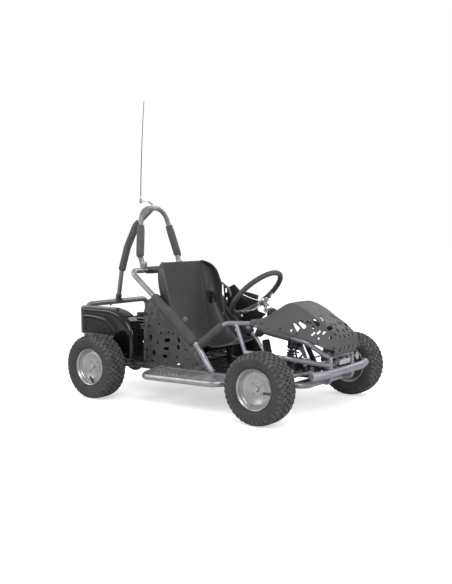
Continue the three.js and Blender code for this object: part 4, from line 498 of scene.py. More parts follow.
view = {
    "place": (2.570, -3.439, 0.878), "target": (0.0348, 0.0, 0.5445), "lens": 50.81, "worldLevel": 0.62,
    "floorGlow": 0.55,
    "lamps": (  # place, size, power
        ((2.2, -2.6, 3.4), 2.6, 95), ((-2.6, -2.4, 2.6), 2.4, 55), ((0.6, 3.2, 2.8), 2.6, 50),
        ((3.6, 0.8, 1.6), 1.8, 30),
    ),
}
camera = bpy.data.objects.new("camera", bpy.data.cameras.new("camera"))
camera.data.lens = view["lens"]
camera.location = view["place"]
camera.rotation_euler = (Vector(view["target"]) - Vector(view["place"])).to_track_quat("-Z", "Y").to_euler()
bpy.context.scene.collection.objects.link(camera)
bpy.context.scene.camera = camera
for number, (spot, size, power) in enumerate(view["lamps"]):
    lamp = bpy.data.objects.new(f"lamp{number}", bpy.data.lights.new(f"lamp{number}", "AREA"))
    lamp.data.size, lamp.data.energy = size, power
    lamp.location = spot
    lamp.rotation_euler = (Vector((0, 0, 0.4)) - Vector(spot)).to_track_quat("-Z", "Y").to_euler()
    bpy.context.scene.collection.objects.link(lamp)


def lightPaths(nodes, links, ways):  # one where any of the named kinds of ray arrives, otherwise nought
    rays = nodes.new("ShaderNodeLightPath")
    total = rays.outputs[ways[0]]
    for way in ways[1:]:
        larger = nodes.new("ShaderNodeMath")
        larger.operation = "MAXIMUM"
        links.new(total, larger.inputs[0])
        links.new(rays.outputs[way], larger.inputs[1])
        total = larger.outputs[0]
    return total


world = bpy.data.worlds.new("studio")
bpy.context.scene.world = world
world.use_nodes = True
nodes, links = world.node_tree.nodes, world.node_tree.links
soft, white = nodes["Background"], nodes.new("ShaderNodeBackground")
soft.inputs["Color"].default_value = (1, 1, 1, 1)
soft.inputs["Strength"].default_value = view["worldLevel"]
white.inputs["Color"].default_value = (1, 1, 1, 1)
white.inputs["Strength"].default_value = 1.0
mixed = nodes.new("ShaderNodeMixShader")
links.new(lightPaths(nodes, links, ("Is Camera Ray", "Is Transmission Ray")), mixed.inputs[0])
links.new(soft.outputs[0], mixed.inputs[1])
links.new(white.outputs[0], mixed.inputs[2])
links.new(mixed.outputs[0], nodes["World Output"].inputs["Surface"])
bpy.context.scene.view_settings.view_transform = "Standard"

floorMesh = bpy.data.meshes.new("floor")
floorMesh.from_pydata([(-30, -30, 0), (30, -30, 0), (30, 30, 0), (-30, 30, 0)], [], [(0, 1, 2, 3)])
floor = bpy.data.objects.new("floor", floorMesh)
bpy.context.scene.collection.objects.link(floor)
floor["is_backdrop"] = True
floorFinish = bpy.data.materials.new("floor")
floorFinish.use_nodes = True
nodes, links = floorFinish.node_tree.nodes, floorFinish.node_tree.links
nodes["Principled BSDF"].inputs["Base Color"].default_value = (0.8, 0.8, 0.8, 1)
nodes["Principled BSDF"].inputs["Roughness"].default_value = 0.95
nodes["Principled BSDF"].inputs["Specular IOR Level"].default_value = 0.0
nodes["Principled BSDF"].inputs["Emission Color"].default_value = (1, 1, 1, 1)
glow = nodes.new("ShaderNodeMath")
glow.operation = "MULTIPLY"
links.new(lightPaths(nodes, links, ("Is Camera Ray",)), glow.inputs[0])
glow.inputs[1].default_value = view["floorGlow"]
links.new(glow.outputs[0], nodes["Principled BSDF"].inputs["Emission Strength"])
floorMesh.materials.append(floorFinish)
print("camera, lamps and floor made")

# Frame: every run of tube as its radius, its bend and its corners

runs = {
    "rail": (14, 55, [(-273, halfWidth, 215), (45, halfWidth, 215), (97, halfWidth, railHeight),
        (840, halfWidth, railHeight)]),
    "railFront": (14, 55, [(838, halfWidth, railHeight), (1140, halfWidth, railHeight),
        (1140, 0, railHeight)]),
    "railStub": (11, 55, [(104, halfWidth, 154), (30, halfWidth, 152)]),
    "rearHoop": (15, 45, [(-258, halfWidth, 215), (-258, halfWidth, 456)]),
    "frontLeg": (14, 55, [(621, halfWidth, railHeight), (559.25, halfWidth, 241.2)]),
    "side": (14, 42, [(559.25, halfWidth, 241.2), (526, halfWidth, 286), (247, halfWidth, 517),
        (78, halfWidth, 650)]),
    "loop": (11.5, 55, [(526, halfWidth, 286), (700, halfWidth, 418), (825, 200, 419), (900, 200, 386),
        (1110, 188, 351), (1188, 118, 279)]),
    "strut": (10, 42, [(745, 232, 418), (812, halfWidth, 285), (866, halfWidth, railHeight)]),
    "dash": (10, 55, [(800, -210, 405), (800, 210, 405)]),
    "board": (15.5, 55, [(296, halfWidth, railHeight), (296, 422, railHeight), (786, 422, railHeight),
        (786, halfWidth, railHeight)]),
    "spine": (11, 55, [(960, 0, railHeight), (1080, 0, railHeight)]),
    "bumper": (19, 110, [(1185, 262, 209), (1214, 170, 209)]),
    "upright": (10, 20, [(1140, 105, railHeight), (1194, 105, railHeight), (1194, 105, 279)]),
    "stay": (11, 55, [(812, halfWidth, 285), (1050, halfWidth, 277), (1180, 112, 240), (1194, 105, 240)]),
}


def run(name):
    radius, bend, corners = runs[name]
    return pipe(corners, radius, bend)


def mirrorCorners(corners):  # the run goes on down the other side, mirrored
    return [*corners, *[(x, -y, z) for x, y, z in reversed(corners) if y]]


def whole(name):
    radius, bend, corners = runs[name]
    return pipe(mirrorCorners(corners), radius, bend)


def crossTube(x, height=railHeight, radius=11):
    return pipe([(x, -halfWidth, height), (x, halfWidth, height)], radius)


def leanX(height):  # where the roll bar is at a height
    return 71 - 0.182 * (height - 660)


enginePlate = {"middle": (172, 0, 170), "size": (142, 240, 5)}
hangerOutline = [(-48, 215), (40, 215), (48, 207), (28, 131), (-28, 131)]
sideHanger = prism(hangerOutline, 244, 256)
bearing = turned(
    [(13.2, -18), (20, -18), (20, -15), (28, -15), (28, 15), (20, 15), (20, 18), (13.2, 18)],
    (0, halfWidth, axleHeight), yAxis, 40, closed=True,
)
hangerBolts = [bolt((x, 256, z), yAxis, 5) for x, z in ((-30, 150), (30, 150), (-34, 196), (34, 196))]
place(
    "lowerFrameTubes",
    joined(onBothSides(run("rail"), run("railStub")), crossTube(-258, 215, 14), crossTube(112), crossTube(232)),
    "darkTube", nodes=["lower_frame"],
)
place("lowerFrameFront", whole("railFront"), "silverPaint")
place(
    "lowerFrameWelds",
    joined(*[
        onBothSides(bead((x, 238, z), yAxis, r + 1))
        for x, z, r in ((112, 158, 11), (232, 158, 11), (-258, 215, 12.5))
    ]),
    "darkTube",
)
place("axleHangers", onBothSides(sideHanger, *hangerBolts), "darkTube", bevel=0.0012)
place("axleBearings", onBothSides(bearing), "bareSteel", bevel=0.0008)
place("enginePlate", box(enginePlate["middle"], enginePlate["size"]), "darkTube", bevel=0.001)

place(
    "rearHoop", joined(whole("rearHoop"), onBothSides(bead((-258, halfWidth, 230), zAxis, 14.6, 2))),
    "greyTube", nodes=["rear_hoop"],
)
place("rearHoopBolt", bolt((-258, -60, 442), (0, 0, -1), 5), "blackSteel")

crossPad = {"x": 78, "z": 650, "half": 125, "radius": 19.5, "bore": 14.3, "samples": 26}
place("sideBars", whole("side"), "bareTube", nodes=["seat_hoop"], sharp=40)
crossShare = np.linspace(-1, 1, crossPad["samples"])
crossPath = np.array([(crossPad["x"], y, crossPad["z"]) for y in crossShare * crossPad["half"]])
crossWave = 0.25 * np.sin(np.arange(crossPad["samples"]) * 1.7)
crossRadius = crossPad["radius"] - 1.2 * np.abs(crossShare) ** 6 + crossWave
seatCross = place("seatCrossSleeve", sleeve(crossPath, crossRadius, crossPad["bore"], 28), "rollFoam")
place(
    "seatBrackets",
    onBothSides(
        box((142, 110, 650), (128, 30, 4)), box((208, 110, 640), (4, 30, 24)),
        bolt((190, 110, 652), zAxis, 5),
        bush(14.5, 17, -16, 16, (78, 110, 650), yAxis, 28),
    ),
    "blackSteel", bevel=0.0008,
)
place(
    "frontLegs",
    onBothSides(
        run("frontLeg"), bead((615, halfWidth, 171), (-95, 0, 128), 15),
        bead((526, halfWidth, 286), (0.6, 0, 1), 15, 2.2),
    ),
    "silverPaint",
)

loopWelds = [bead((745, 232, 408), (0.35, 0, -1), 11), bead((866, halfWidth, 171), (0.3, 0, -1), 11),
    bead((800, 205, 405), yAxis, 11)]
place(
    "frontLoop",
    joined(whole("loop"), onBothSides(run("strut")), run("dash"), onBothSides(*loopWelds)),
    "silverPaint", nodes=["front_loop"],
)
shock = {"x": 1040.0, "topHalfGap": 200.0, "topHeight": 326.0, "footHalfGap": 212.0, "footHeight": 214.0}
earXs = (1029, 1051)
earOutline = [(186, 316), (208, 316), (212, 330), (212, 362), (184, 362), (184, 330)]
topEars = [prism(earOutline, x - 2, x + 2, "yz") for x in earXs]
place(
    "shockTopEars",
    onBothSides(*topEars, rod((1024, 200, 326), (1056, 200, 326), 4, 14), bolt((1056, 200, 326), xAxis, 5),
        bolt((1024, 200, 326), (-1, 0, 0), 5)),
    "blackSteel", bevel=0.0008,
)

# Steering frame: X up and forward across the wheel, Z towards the driver
steer = {"spot": np.array([706.0, 0, 548.0]), "degrees": -45, "ring": 150, "grip": 13.0}
steerTurn = turn("Y", steer["degrees"])


def onSteer(shell):  # from the wheel's own frame to the stations
    return moved(shell, steerTurn, steer["spot"])


bearingBlock = joined(
    box((-15, 0, -168), (58, 28, 28)),
    bush(9.6, 19, -20, 20, (0, 0, -168), zAxis, 32),
    bolt((-30, 14, -168), yAxis, 4), bolt((-30, -14, -168), (0, -1, 0), 4),
)
place("columnBearing", onSteer(bearingBlock), "blackSteel", bevel=0.0015)

shroud = [(19.5, -166), (27, -164), (29, -150), (27, -128), (21, -120), (19.5, -120)]
place("columnShroud", onSteer(turned(shroud, (0, 0, 0), zAxis, 40, closed=True)), "blackSteel", sharp=50)

controlGuard = {  # on the driver's left, outside the seat: outline and holes as X and Z
    "outline": [
        (326, 564), (365, 551), (400, 568), (439, 533), (494, 528), (562, 514), (545, 462), (562, 428),
        (611, 417), (578, 387), (520, 363), (452, 365), (409, 376), (365, 416), (335, 471),
    ],
    "holes": [(345, 532, 15, 26), (349, 478, 12, 30), (396, 424, 30, 12), (446, 396, 26, 12)],
}
guardHoles = [
    prism(slotOutline(length, height, min(length, height) * 0.4) + [x, z], 220, 245)
    for x, z, length, height in controlGuard["holes"]
]
place("controlGuard", prism(controlGuard["outline"], 229, 236), "blackSteel", bevel=0.003,
    cutters=joined(*guardHoles))
lever = joined(rod((318, 222, 577), (372, 222, 545), 6), rod((372, 222, 545), (380, 231, 500), 6))
place("controlLever", lever, "greyTube")

place("seatSkirt", prism([(400, 172), (560, 172), (600, 190), (540, 275), (400, 300)], 230, 234),
    "blackSteel", bevel=0.001)

rollBar = {"radius": 13, "bend": 88}
rollCorners = [(78, 150, 650), (leanX(735), 155, 735), (leanX(984), 92, 984)]
rearLegCorners = [(-256, 0, 462), (-226, 0, 634), (-181, 0, 767), (-115, 0, 886), (leanX(984), 0, 984)]
footSleeve = turned(
    [(13.2, -2), (18, 0), (18, 24), (16.5, 34), (13.2, 35)], (77, 150, 662), (0.075, -0.02, 1), 32,
    closed=True,
)
place(
    "rollBar",
    joined(pipe(mirrorCorners(rollCorners), **rollBar), pipe(rearLegCorners, **rollBar),
        bead((leanX(984) - 12, 0, 979), (1, 0, 0.4), 13.5)),
    "greyTube", nodes=["roll_bar"],
)
legSleeve = bent([rollCorners[0], rollCorners[1], between(rollCorners[1], rollCorners[2], 0.4)],
    rollBar["bend"])[:-1]
legSleeve = legSleeve[legSleeve[:, 2] < 745]
place("rollBarLegs", onBothSides(sleeve(legSleeve, 13.5, 12.6, 28)), "silverPaint")
place(
    "rollBarFeet",
    onBothSides(footSleeve, bolt((94, 150, 680), xAxis, 5), bolt((76, 168, 680), yAxis, 4.5)),
    "bareTube", bevel=0.0008,
)
rearFoot = joined(
    turned([(13.2, 0), (17, 0), (17, 30), (13.2, 31)], (-255, 0, 468), (0.17, 0, 1), 32, closed=True),
    box((-258, 0, 458), (36, 44, 12)), bolt((-241, 16, 464), zAxis, 4), bolt((-241, -16, 464), zAxis, 4),
)
place("rollBarRearFoot", rearFoot, "darkTube", bevel=0.0008)

place(
    "bumperBar", joined(whole("bumper"), onBothSides(run("upright"), run("stay"))), "silverPaint",
    nodes=["front_bumper"],
)
bumperCaps = [
    turned([(0, 0), (16.5, 0), (19.5, -3), (19.5, -9), (0, -9)], (1184.5, 264, 209), (-0.3, 0.95, 0), 28),
    bead((1194, 105, 226), zAxis, 11), bead((1184, 110, 240), (-0.5, 0.8, 0.1), 11.5),
    bead((1140, 105, 158), xAxis, 14, 2),
]
place("bumperTrim", onBothSides(*bumperCaps), "silverPaint")
clamp = joined(
    turned([(0, -3), (16, -3), (18, -1.5), (18, 1.5), (16, 3), (0, 3)], (1212, 124, 260), (1, 0.1, 0.1), 36),
    rod((1194, 107, 258), (1210, 122, 260), 5, 16),
)
place("bumperClamp", clamp, "bareTube", bevel=0.0006)
print("frame made")

# Foam sleeves

foam = {"waves": ((0.35, 0.031), (0.2, 0.083)), "edge": 7.0, "rollBore": 13.3}


# a straight sleeve with rounded ends and slightly uneven skin
def foamSleeve(start, end, radius, bore, steps=60):
    start, end = np.asarray(start, float), np.asarray(end, float)
    share = np.concatenate([[0, 0.004, 0.012, 0.025], np.linspace(0.04, 0.96, steps),
        [0.975, 0.988, 0.996, 1]])
    distance = share * np.linalg.norm(end - start)
    fall = np.minimum(distance, distance[-1] - distance)
    rounded = radius - foam["edge"] * np.clip(1 - fall / (2 * foam["edge"]), 0, 1) ** 2
    wave = sum(height * np.sin(distance * 2 * math.pi * pitch + radius) for height, pitch in foam["waves"])
    return sleeve(start + share[:, None] * (end - start), rounded + wave - 0.5, bore, 32)


pads = [  # node, the ends of its tube, the shares of it that are covered, radius and bore
    ("side_pad_rear_{}", (247, halfWidth, 517), (526, halfWidth, 286), -0.035, 0.93, 25, 14.3),
    ("side_pad_front_{}", (526, halfWidth, 286), (700, halfWidth, 418), 0.10, 0.9, 24, 11.8),
]
padded = []
for node, start, end, first, last, radius, bore in pads:
    covered = foamSleeve(between(start, end, first), between(start, end, last), radius, bore)
    padded += placeSides(node + "_foam", covered, "foamSkin", nodes=[node])
rollPath = bent([between(rollCorners[1], rollCorners[0], 0.09), rollCorners[1],
    between(rollCorners[1], rollCorners[2], 0.62)], rollBar["bend"], 8)
rollPath = splineAt(rollPath, np.linspace(0, 1, 40))
rollRadius = np.full(40, 21.0) + 0.4 * np.sin(np.arange(40) * 0.9)
rollRadius[[0, -1]] = 18.5
padded += placeSides("roll_pad_{}_foam", sleeve(rollPath, rollRadius, foam["rollBore"], 32), "rollFoam",
    nodes=["roll_pad_{}"])
rearPath = bent([between(rearLegCorners[1], rearLegCorners[2], 0.02), *rearLegCorners[2:4],
    between(rearLegCorners[3], rearLegCorners[4], 0.2)], rollBar["bend"], 16)
rearPath = np.vstack([
    *[between(rearPath[0], rearPath[1], share) for share in (0, 0.02, 0.05, 0.35, 0.7)], rearPath[1:-1],
    *[between(rearPath[-2], rearPath[-1], share) for share in (0.3, 0.65, 0.95, 0.98, 1)],
])
rearRadius = np.full(len(rearPath), 20.5)
rearRadius[[0, -1]] = 18
rearRadius[[1, -2]] = 19.7
padded.append(place("roll_pad_rear_foam", sleeve(rearPath, rearRadius, foam["rollBore"], 32), "rollFoam",
    nodes=["roll_pad_rear"]))
print("foam made")

# Antenna

antenna = {"spot": (-76, 0, 1023), "tip": (-47, 0, 1568.8)}
strapPath = bent([(26, 0, 978), (12, 0, 1004), (-20, 0, 1022), (-78, 0, 1023)], 26, 8)
strapNormal = np.cross(headings(strapPath), [0, 1, 0])
strapGrid = np.array([strapPath + sy * np.array([0, 10, 0]) for sy in (-1, -0.9, 0.9, 1)]).transpose(1, 0, 2)
place(
    "antennaBracket",
    joined(
        slabShell(strapGrid + 1.5 * strapNormal[:, None], strapGrid - 1.5 * strapNormal[:, None]),
        disc(13, -4, 4, (20, 0, 986), (0.5, 0, 1), 24),
        bolt((-58, 0, 1025), zAxis, 4),
    ),
    "bareSteel", bevel=0.0005,
)
place(
    "antennaBase",
    joined(
        turned([(0, -10), (6, -10), (6, -3), (9, -3), (9, 3), (7.5, 4), (7.5, 14), (5, 16), (5, 26),
            (2.5, 30), (0, 30)], antenna["spot"], zAxis, 30),
        disc(8, 4, 11, antenna["spot"], zAxis, 6),
    ),
    "bareSteel",
)
whipShare = np.linspace(0, 1, 40)[:, None]
whipPath = curved(*np.array([(-76, 0, 1045), (-70.5, 0, 1310), (-47, 0, 1569)]), whipShare)
place(
    "antennaWhip",
    joined(tube(whipPath, np.linspace(2.7, 1.7, 40), 10),
        turned([(0, -3), (2.2, -2.4), (2.8, 0), (2.2, 2.4), (0, 3)], antenna["tip"], zAxis, 16)),
    "blackSteel", nodes=["antenna"],
)

# Seat: a centreline, and at each place along it a wing that rolls forward at both sides

seat = {
    "top": (214.0, 692.0), "length": 375.0, "depth": 447.0, "halfWidth": 226.0, "wing": 92.0,
    "thickness": 5.0,
    "line": [(0, 0), (0.035, 0.28), (0.125, 0.56), (0.29, 0.83), (0.52, 1), (0.74, 0.99), (0.92, 0.93)],
    "sections": [  # share of the line, half-width, wing, how square the corner is and how the wing rolls
        (0, 0.74, 0.16, 0.55, 1), (0.02, 0.86, 0.34, 0.5, 1), (0.05, 0.95, 0.56, 0.46, 1),
        (0.1, 1.0, 0.77, 0.43, 1), (0.19, 1.02, 0.91, 0.42, 1), (0.26, 0.985, 0.84, 0.45, 1),
        (0.333, 0.97, 0.72, 0.55, 1.1), (0.42, 0.97, 0.68, 0.75, 1.2), (0.5, 0.97, 0.7, 0.95, 1.3),
        (0.667, 0.96, 0.62, 1, 1.3), (0.833, 0.94, 0.42, 1, 1.3), (1, 0.85, 0.15, 1, 1.3),
    ],
    "columns": 65, "rows": 121, "lip": 4.2,
}
sections = np.array(seat["sections"])


# centreline, plus the wing square to it: powers of sine and cosine give flat back and square corners
def seatPoint(u, t):
    line = np.array(seat["line"]) * [seat["length"], -seat["depth"]] + seat["top"]
    centre = splineAt(line, t)
    ahead = unit(splineAt(line, np.clip(t + 0.004, 0, 1)) - splineAt(line, np.clip(t - 0.004, 0, 1)))
    width, wing, square, roll = (np.interp(t, sections[:, 0], sections[:, k]) for k in range(1, 5))
    angle = np.abs(u) * math.pi / 2
    forward = wing * seat["wing"] * (1 - np.clip(np.cos(angle), 0, 1) ** square) ** roll
    across = np.sign(u) * width * seat["halfWidth"] * np.sin(angle) ** square
    return np.stack([centre[..., 0] - ahead[..., 1] * forward, across,
        centre[..., 1] + ahead[..., 0] * forward], -1)


# each row moved towards the mean of its neighbours, to soften the creases between sections
def eased(grid, times):
    for _ in range(times):
        grid[1:-1] = 0.5 * grid[1:-1] + 0.25 * (grid[:-2] + grid[2:])
    return grid


seatU, seatT = np.meshgrid(np.linspace(-1, 1, seat["columns"]), np.linspace(0, 1, seat["rows"]),
    indexing="ij")
seatGrid = eased(seatPoint(seatU, seatT).transpose(1, 0, 2), 8).transpose(1, 0, 2)
seatNormal = gridNormals(seatGrid)
seatNormal *= np.sign(seatNormal[32, 60] @ np.array([0.4, 0, 1]))
ribs = 1.6 * np.exp(-((np.abs(seatU) - 0.34) / 0.025) ** 2)
ribs = ribs * np.clip((seatT - 0.08) * 12, 0, 1) * np.clip((0.62 - seatT) * 12, 0, 1)
upper = seatGrid + seatNormal * ribs[..., None]
lower = seatGrid - seatNormal * (seat["thickness"] - ribs[..., None])
lipPath = edgeOf(seatGrid) - edgeOf(seatNormal) * seat["thickness"] / 2
beltHole = moved(prism(slotOutline(66, 40, 13), -34, 34, "xy"), turn("Y", 80))
beltHoles = [moved(beltHole, offset=(268, side * 200, 492)) for side in (-1, 1)]
place("seatShell", slabShell(upper, lower), "seatPlastic", nodes=["seat_shell"], cutters=joined(*beltHoles),
    sharp=50)
# the lip round the seat's edge takes the lighter hood plastic as a painted highlight along the edge
place("seatLipHighlight", tube(lipPath, seat["lip"], 10, closed=True), "hoodPlastic")
# black boxes behind the belt slots are painted shade, so the slots read dark
place("beltSlotShadeBoxes", onBothSides(box((247, 203, 492), (14, 44, 72))), "blackSteel", bevel=0.002)
screws = []
for u, t in ((0.22, 0.78), (-0.22, 0.78), (0.22, 0.62), (-0.22, 0.62)):
    i, j = cellAt(seatGrid, u, t)
    screws.append(bolt(seatGrid[i, j] + seatNormal[i, j] * 0.4, seatNormal[i, j], 5))
place("seatScrews", joined(*screws), "blackSteel")

belt = {"span": 0.8, "rear": 0.7, "front": 0.77, "lift": 3.4, "half": 1.2}
beltU, beltT = np.meshgrid(np.linspace(-belt["span"], belt["span"], 81),
    np.linspace(belt["rear"], belt["front"], 9), indexing="ij")
beltMid = seatPoint(beltU, beltT)
beltNormal = gridNormals(beltMid)
beltNormal *= np.sign(beltNormal[40, 4, 2])
lift = belt["lift"] + np.sin(beltU * 19) ** 2
place(
    "lapBelt",
    slabShell(beltMid + beltNormal * (lift + belt["half"])[..., None],
        beltMid + beltNormal * (lift - belt["half"])[..., None]),
    "webbing", nodes=["lap_belt"], sharp=60,
)
buckleSpot = beltMid[40, 4] + [0, 0, 9]
place(
    "beltBuckle",
    joined(moved(prism(slotOutline(50, 46, 9), -5.5, 5.5, "xy"), offset=buckleSpot),
        box(buckleSpot + [0, 0, 6], (18, 24, 2))),
    "blackSteel", bevel=0.0012,
)
tongues = [
    moved(prism(slotOutline(30, 22, 5), -1.2, 1.2), turn("Z", side * -36) @ turn("Y", -40),
        (372, side * 166, 405)) for side in (-1, 1)
]
for name, side in layout["sides"]:
    spot = seatPoint(np.array(side * 0.72), np.array(0.735)) + [0, 0, 6]
    tongues.append(moved(prism(slotOutline(34, 30, 6), -1.2, 1.2, "xy"), turn("X", side * 42), spot))
place("beltAdjusters", joined(*tongues), "greyTube", bevel=0.0004)
print("seat made")

# Side panels: a flat plate with slots, each slot with a rolled rim

panel = {
    "outline": [(168, 158), (167, 404), (170, 438), (178, 468), (190, 490), (206, 506), (225, 515),
        (247, 517), (526, 286), (621, 158)],
    "slots": [  # middle X and Z, length, height, degrees
        (214, 309, 20, 28, 0), (326, 304, 36, 20, 8), (320, 260, 33, 17, 4), (311, 220, 28, 19, 0),
        (235, 232, 19, 25, 0), (403, 311, 16, 24, 20), (400, 274, 18, 24, 20), (284, 338, 12, 14, 0),
        (336, 346, 12, 15, 0), (450, 265, 12, 15, 20), (228, 189, 16, 10, 0), (391, 223, 17, 9, 0),
        (400, 190, 20, 12, 0), (190, 245, 15, 13, 0), (190, 206, 15, 15, 0), (322, 186, 18, 9, 0),
        (205, 369, 17, 13, 0), (273, 383, 12, 10, 0), (224, 424, 9, 40, 0), (470, 215, 13, 14, 20),
        (520, 200, 12, 12, 0), (262, 286, 13, 15, 0), (365, 340, 11, 14, 20), (250, 424, 8, 12, 0),
    ],
    "rim": 1.5, "grow": 1.18,
}
slotShells, rimShells = [], []
for x, z, length, height, degrees in panel["slots"]:
    length, height = length * panel["grow"], height * panel["grow"]
    outline = slotOutline(length, height, min(length, height) * 0.36) @ turn("Z", degrees)[:2, :2].T + [x, z]
    slotShells.append(prism(outline, 240, 260))
    ring = np.stack([outline[:, 0], np.full(len(outline), halfWidth), outline[:, 1]], -1)
    rimShells.append(tube(ring, panel["rim"] * 1.5, 8, closed=True))
plateShell = prism(panel["outline"], 248.5, 251.5)
edge = np.array([(x + 1, halfWidth, z) for x, z in [(168, 172), *panel["outline"][1:7], (236, 514)]])
placeSides("sidePanel_{}", plateShell, "panelPlastic", nodes=["side_panel_{}"], cutters=joined(*slotShells))
placeSides("sidePanelRims_{}", joined(*rimShells), "panelPlastic")
placeSides("sidePanelEdge_{}", tube(edge, 3.4, 10), "panelPlastic")
panelSpots = ((180, 184), (420, 178), (560, 182), (182, 430), (480, 312))
panelBolts = [bolt((x, 254, z), yAxis, 4.5) for x, z in panelSpots]
place("panelBolts", onBothSides(*panelBolts), "blackSteel")
print("panels made")

# Hood: cross-sections along its length, each a flat crown that turns down to an edge over a soft crease

hood = {
    "start": 812.0, "length": 420.0, "halfWidth": 200.0, "base": 437.0, "rise": 80.0, "thickness": 3.5,
    "crease": 0.1, "cut": (300, 540),
    "stations": [  # share of the length, half-width, edge rise, crown half-width and crown rise
        (0, 1.015, 0, 0.42, -0.04), (0.162, 1, -0.35, 0.46, 0.5), (0.329, 0.995, -0.52, 0.49, 0.975),
        (0.448, 0.99, -0.62, 0.495, 0.925), (0.59, 0.975, -0.76, 0.495, 0.61),
        (0.733, 0.92, -0.94, 0.485, 0.13), (0.876, 0.78, -1.3, 0.475, -0.32),
        (0.985, 0.62, -1.5, 0.47, -1.0), (0.955, 0.56, -1.7, 0.46, -1.86),
    ],
    "slots": [  # X, distance from the middle, length, width, degrees
        (1027, 181, 10, 12, 0), (1041, 166, 42, 21, 10), (1066, 146, 40, 18, 14), (1083, 129, 12, 11, 0),
        (1096, 124, 10, 9, 0), (1118, 107, 38, 18, 13), (1114, 131, 14, 11, 10), (1114, 51, 30, 11, 22),
        (1135, 69, 28, 10, 24), (1127, 150, 9, 22, 20), (1145, 131, 9, 22, 22), (1166, 116, 9, 20, 22),
        (1154, 147, 8, 10, 22), (1176, 80, 20, 40, 0), (1168, 20, 18, 12, 0), (1163, 45, 18, 13, 0),
        (1196, 44, 16, 16, 0), (1207, 86, 12, 14, 0), (1196, 112, 13, 12, 0), (1217, 62, 11, 13, 0),
    ],
    "holes": [(1201, 0, 14, 14), (1219, 22, 9, 13), (1219, -22, 9, 13), (1140, 0, 18, 12)],
    "farSlots": [(947, 182), (996, 174)],  # on the driver's left, seen through the near ones
}
stations = np.array(hood["stations"])


def hoodPoint(u, t):  # between crown and edge the section is two straight lines joined by a short curve
    row = splineAt(stations, t)
    along, edgeWidth, edgeRise, crownWidth, crownRise = np.moveaxis(row, -1, 0)
    size = np.abs(u)
    soft = hood["crease"]
    crown = np.stack([crownWidth, crownRise], -1)
    middle = np.stack([np.zeros_like(crownWidth), crownRise + 0.03], -1)
    edge = np.stack([edgeWidth, edgeRise], -1)
    inner = middle + (crown - middle) * np.clip(size * 2, 0, 1)[..., None]
    outer = crown + (edge - crown) * np.clip(size * 2 - 1, 0, 1)[..., None]
    first = middle + (crown - middle) * (1 - 2 * soft)
    last = crown + (edge - crown) * (2 * soft)
    share = np.clip((size - 0.5 + soft) / (2 * soft), 0, 1)[..., None]
    curve = curved(first, crown, last, share)
    near = (np.abs(size - 0.5) < soft)[..., None]
    spot = np.where(near, curve, np.where(size[..., None] < 0.5, inner, outer))
    return np.stack([
        hood["start"] + along * hood["length"], np.sign(u) * spot[..., 0] * hood["halfWidth"],
        hood["base"] + spot[..., 1] * hood["rise"],
    ], -1)


hoodU, hoodT = np.meshgrid(np.linspace(-1, 1, 89), np.linspace(0, 1, 105), indexing="ij")
hoodGrid = hoodPoint(hoodU, hoodT)
hoodNormal = gridNormals(hoodGrid)
hoodNormal *= np.sign(hoodNormal[44, 40, 2])


# its corners' radius is a share of its lesser side
def hoodSlot(x, y, length, width, degrees=0, roundness=0.4):
    outline = slotOutline(length, width, min(length, width) * roundness)
    return moved(prism(outline, *hood["cut"], "xy"), turn("Z", degrees), (x, y, 0))


hoodCutters = [
    hoodSlot(x, side * y, length, width, side * degrees, 0.3)
    for x, y, length, width, degrees in hood["slots"] for side in (-1, 1)
]
hoodCutters += [hoodSlot(*hole) for hole in hood["holes"]]
hoodCutters += [hoodSlot(*slot, 40, 22, 0, 6 / 22) for slot in hood["farSlots"]]
hoodCutters.append(onSteer(rod((0, 0, -58), (0, 0, -168), 18, 28)))
place(
    "hoodSkin", slabShell(hoodGrid, hoodGrid - hoodNormal * hood["thickness"]), "hoodPlastic", nodes=["hood"],
    cutters=joined(*hoodCutters), sharp=28,
)
loopPath = bent(mirrorCorners(runs["loop"][2]), 55)
rolledPath = loopPath[(loopPath[:, 1] > 0) & (loopPath[:, 0] > 812)]
rolledPath = splineAt(rolledPath, np.linspace(0, 1, 60))
place("hoodRolledEdge", onBothSides(sleeve(rolledPath[rolledPath[:, 0] < 1092], 15.5, 12, 24)), "hoodPlastic",
    sharp=50)
hoodEdge = np.concatenate([hoodGrid[0, ::2], hoodGrid[2::2, -1], hoodGrid[-1, -3::-2], hoodGrid[-3:1:-2, 0]])
place("hoodEdgeRoll", tube(hoodEdge - [0, 0, 1.5], 3.0, 8, closed=True), "hoodPlastic")
hoodBolts = []
for u, t in ((0.95, 0.1), (0.95, 0.3), (0.95, 0.5), (0.95, 0.7), (0.93, 0.86)):
    i, j = cellAt(hoodGrid, u, t)
    hoodBolts += [bolt(hoodGrid[k, j], hoodNormal[k, j], 4) for k in (i, len(hoodGrid) - 1 - i)]
place("hoodBolts", joined(*hoodBolts), "blackSteel")
nosePlate = moved(prism(slotOutline(104, 25, 6), -1.4, 1.4, "xy"), turn("Y", 98) @ turn("Z", 90),
    (1218, -9, 251))
place("nosePlate", nosePlate, "rimSilver", bevel=0.0005)
print("hood made")

# Rear cowls: rings shrink from the outline to the recessed panel, over a rounded edge and a raised line

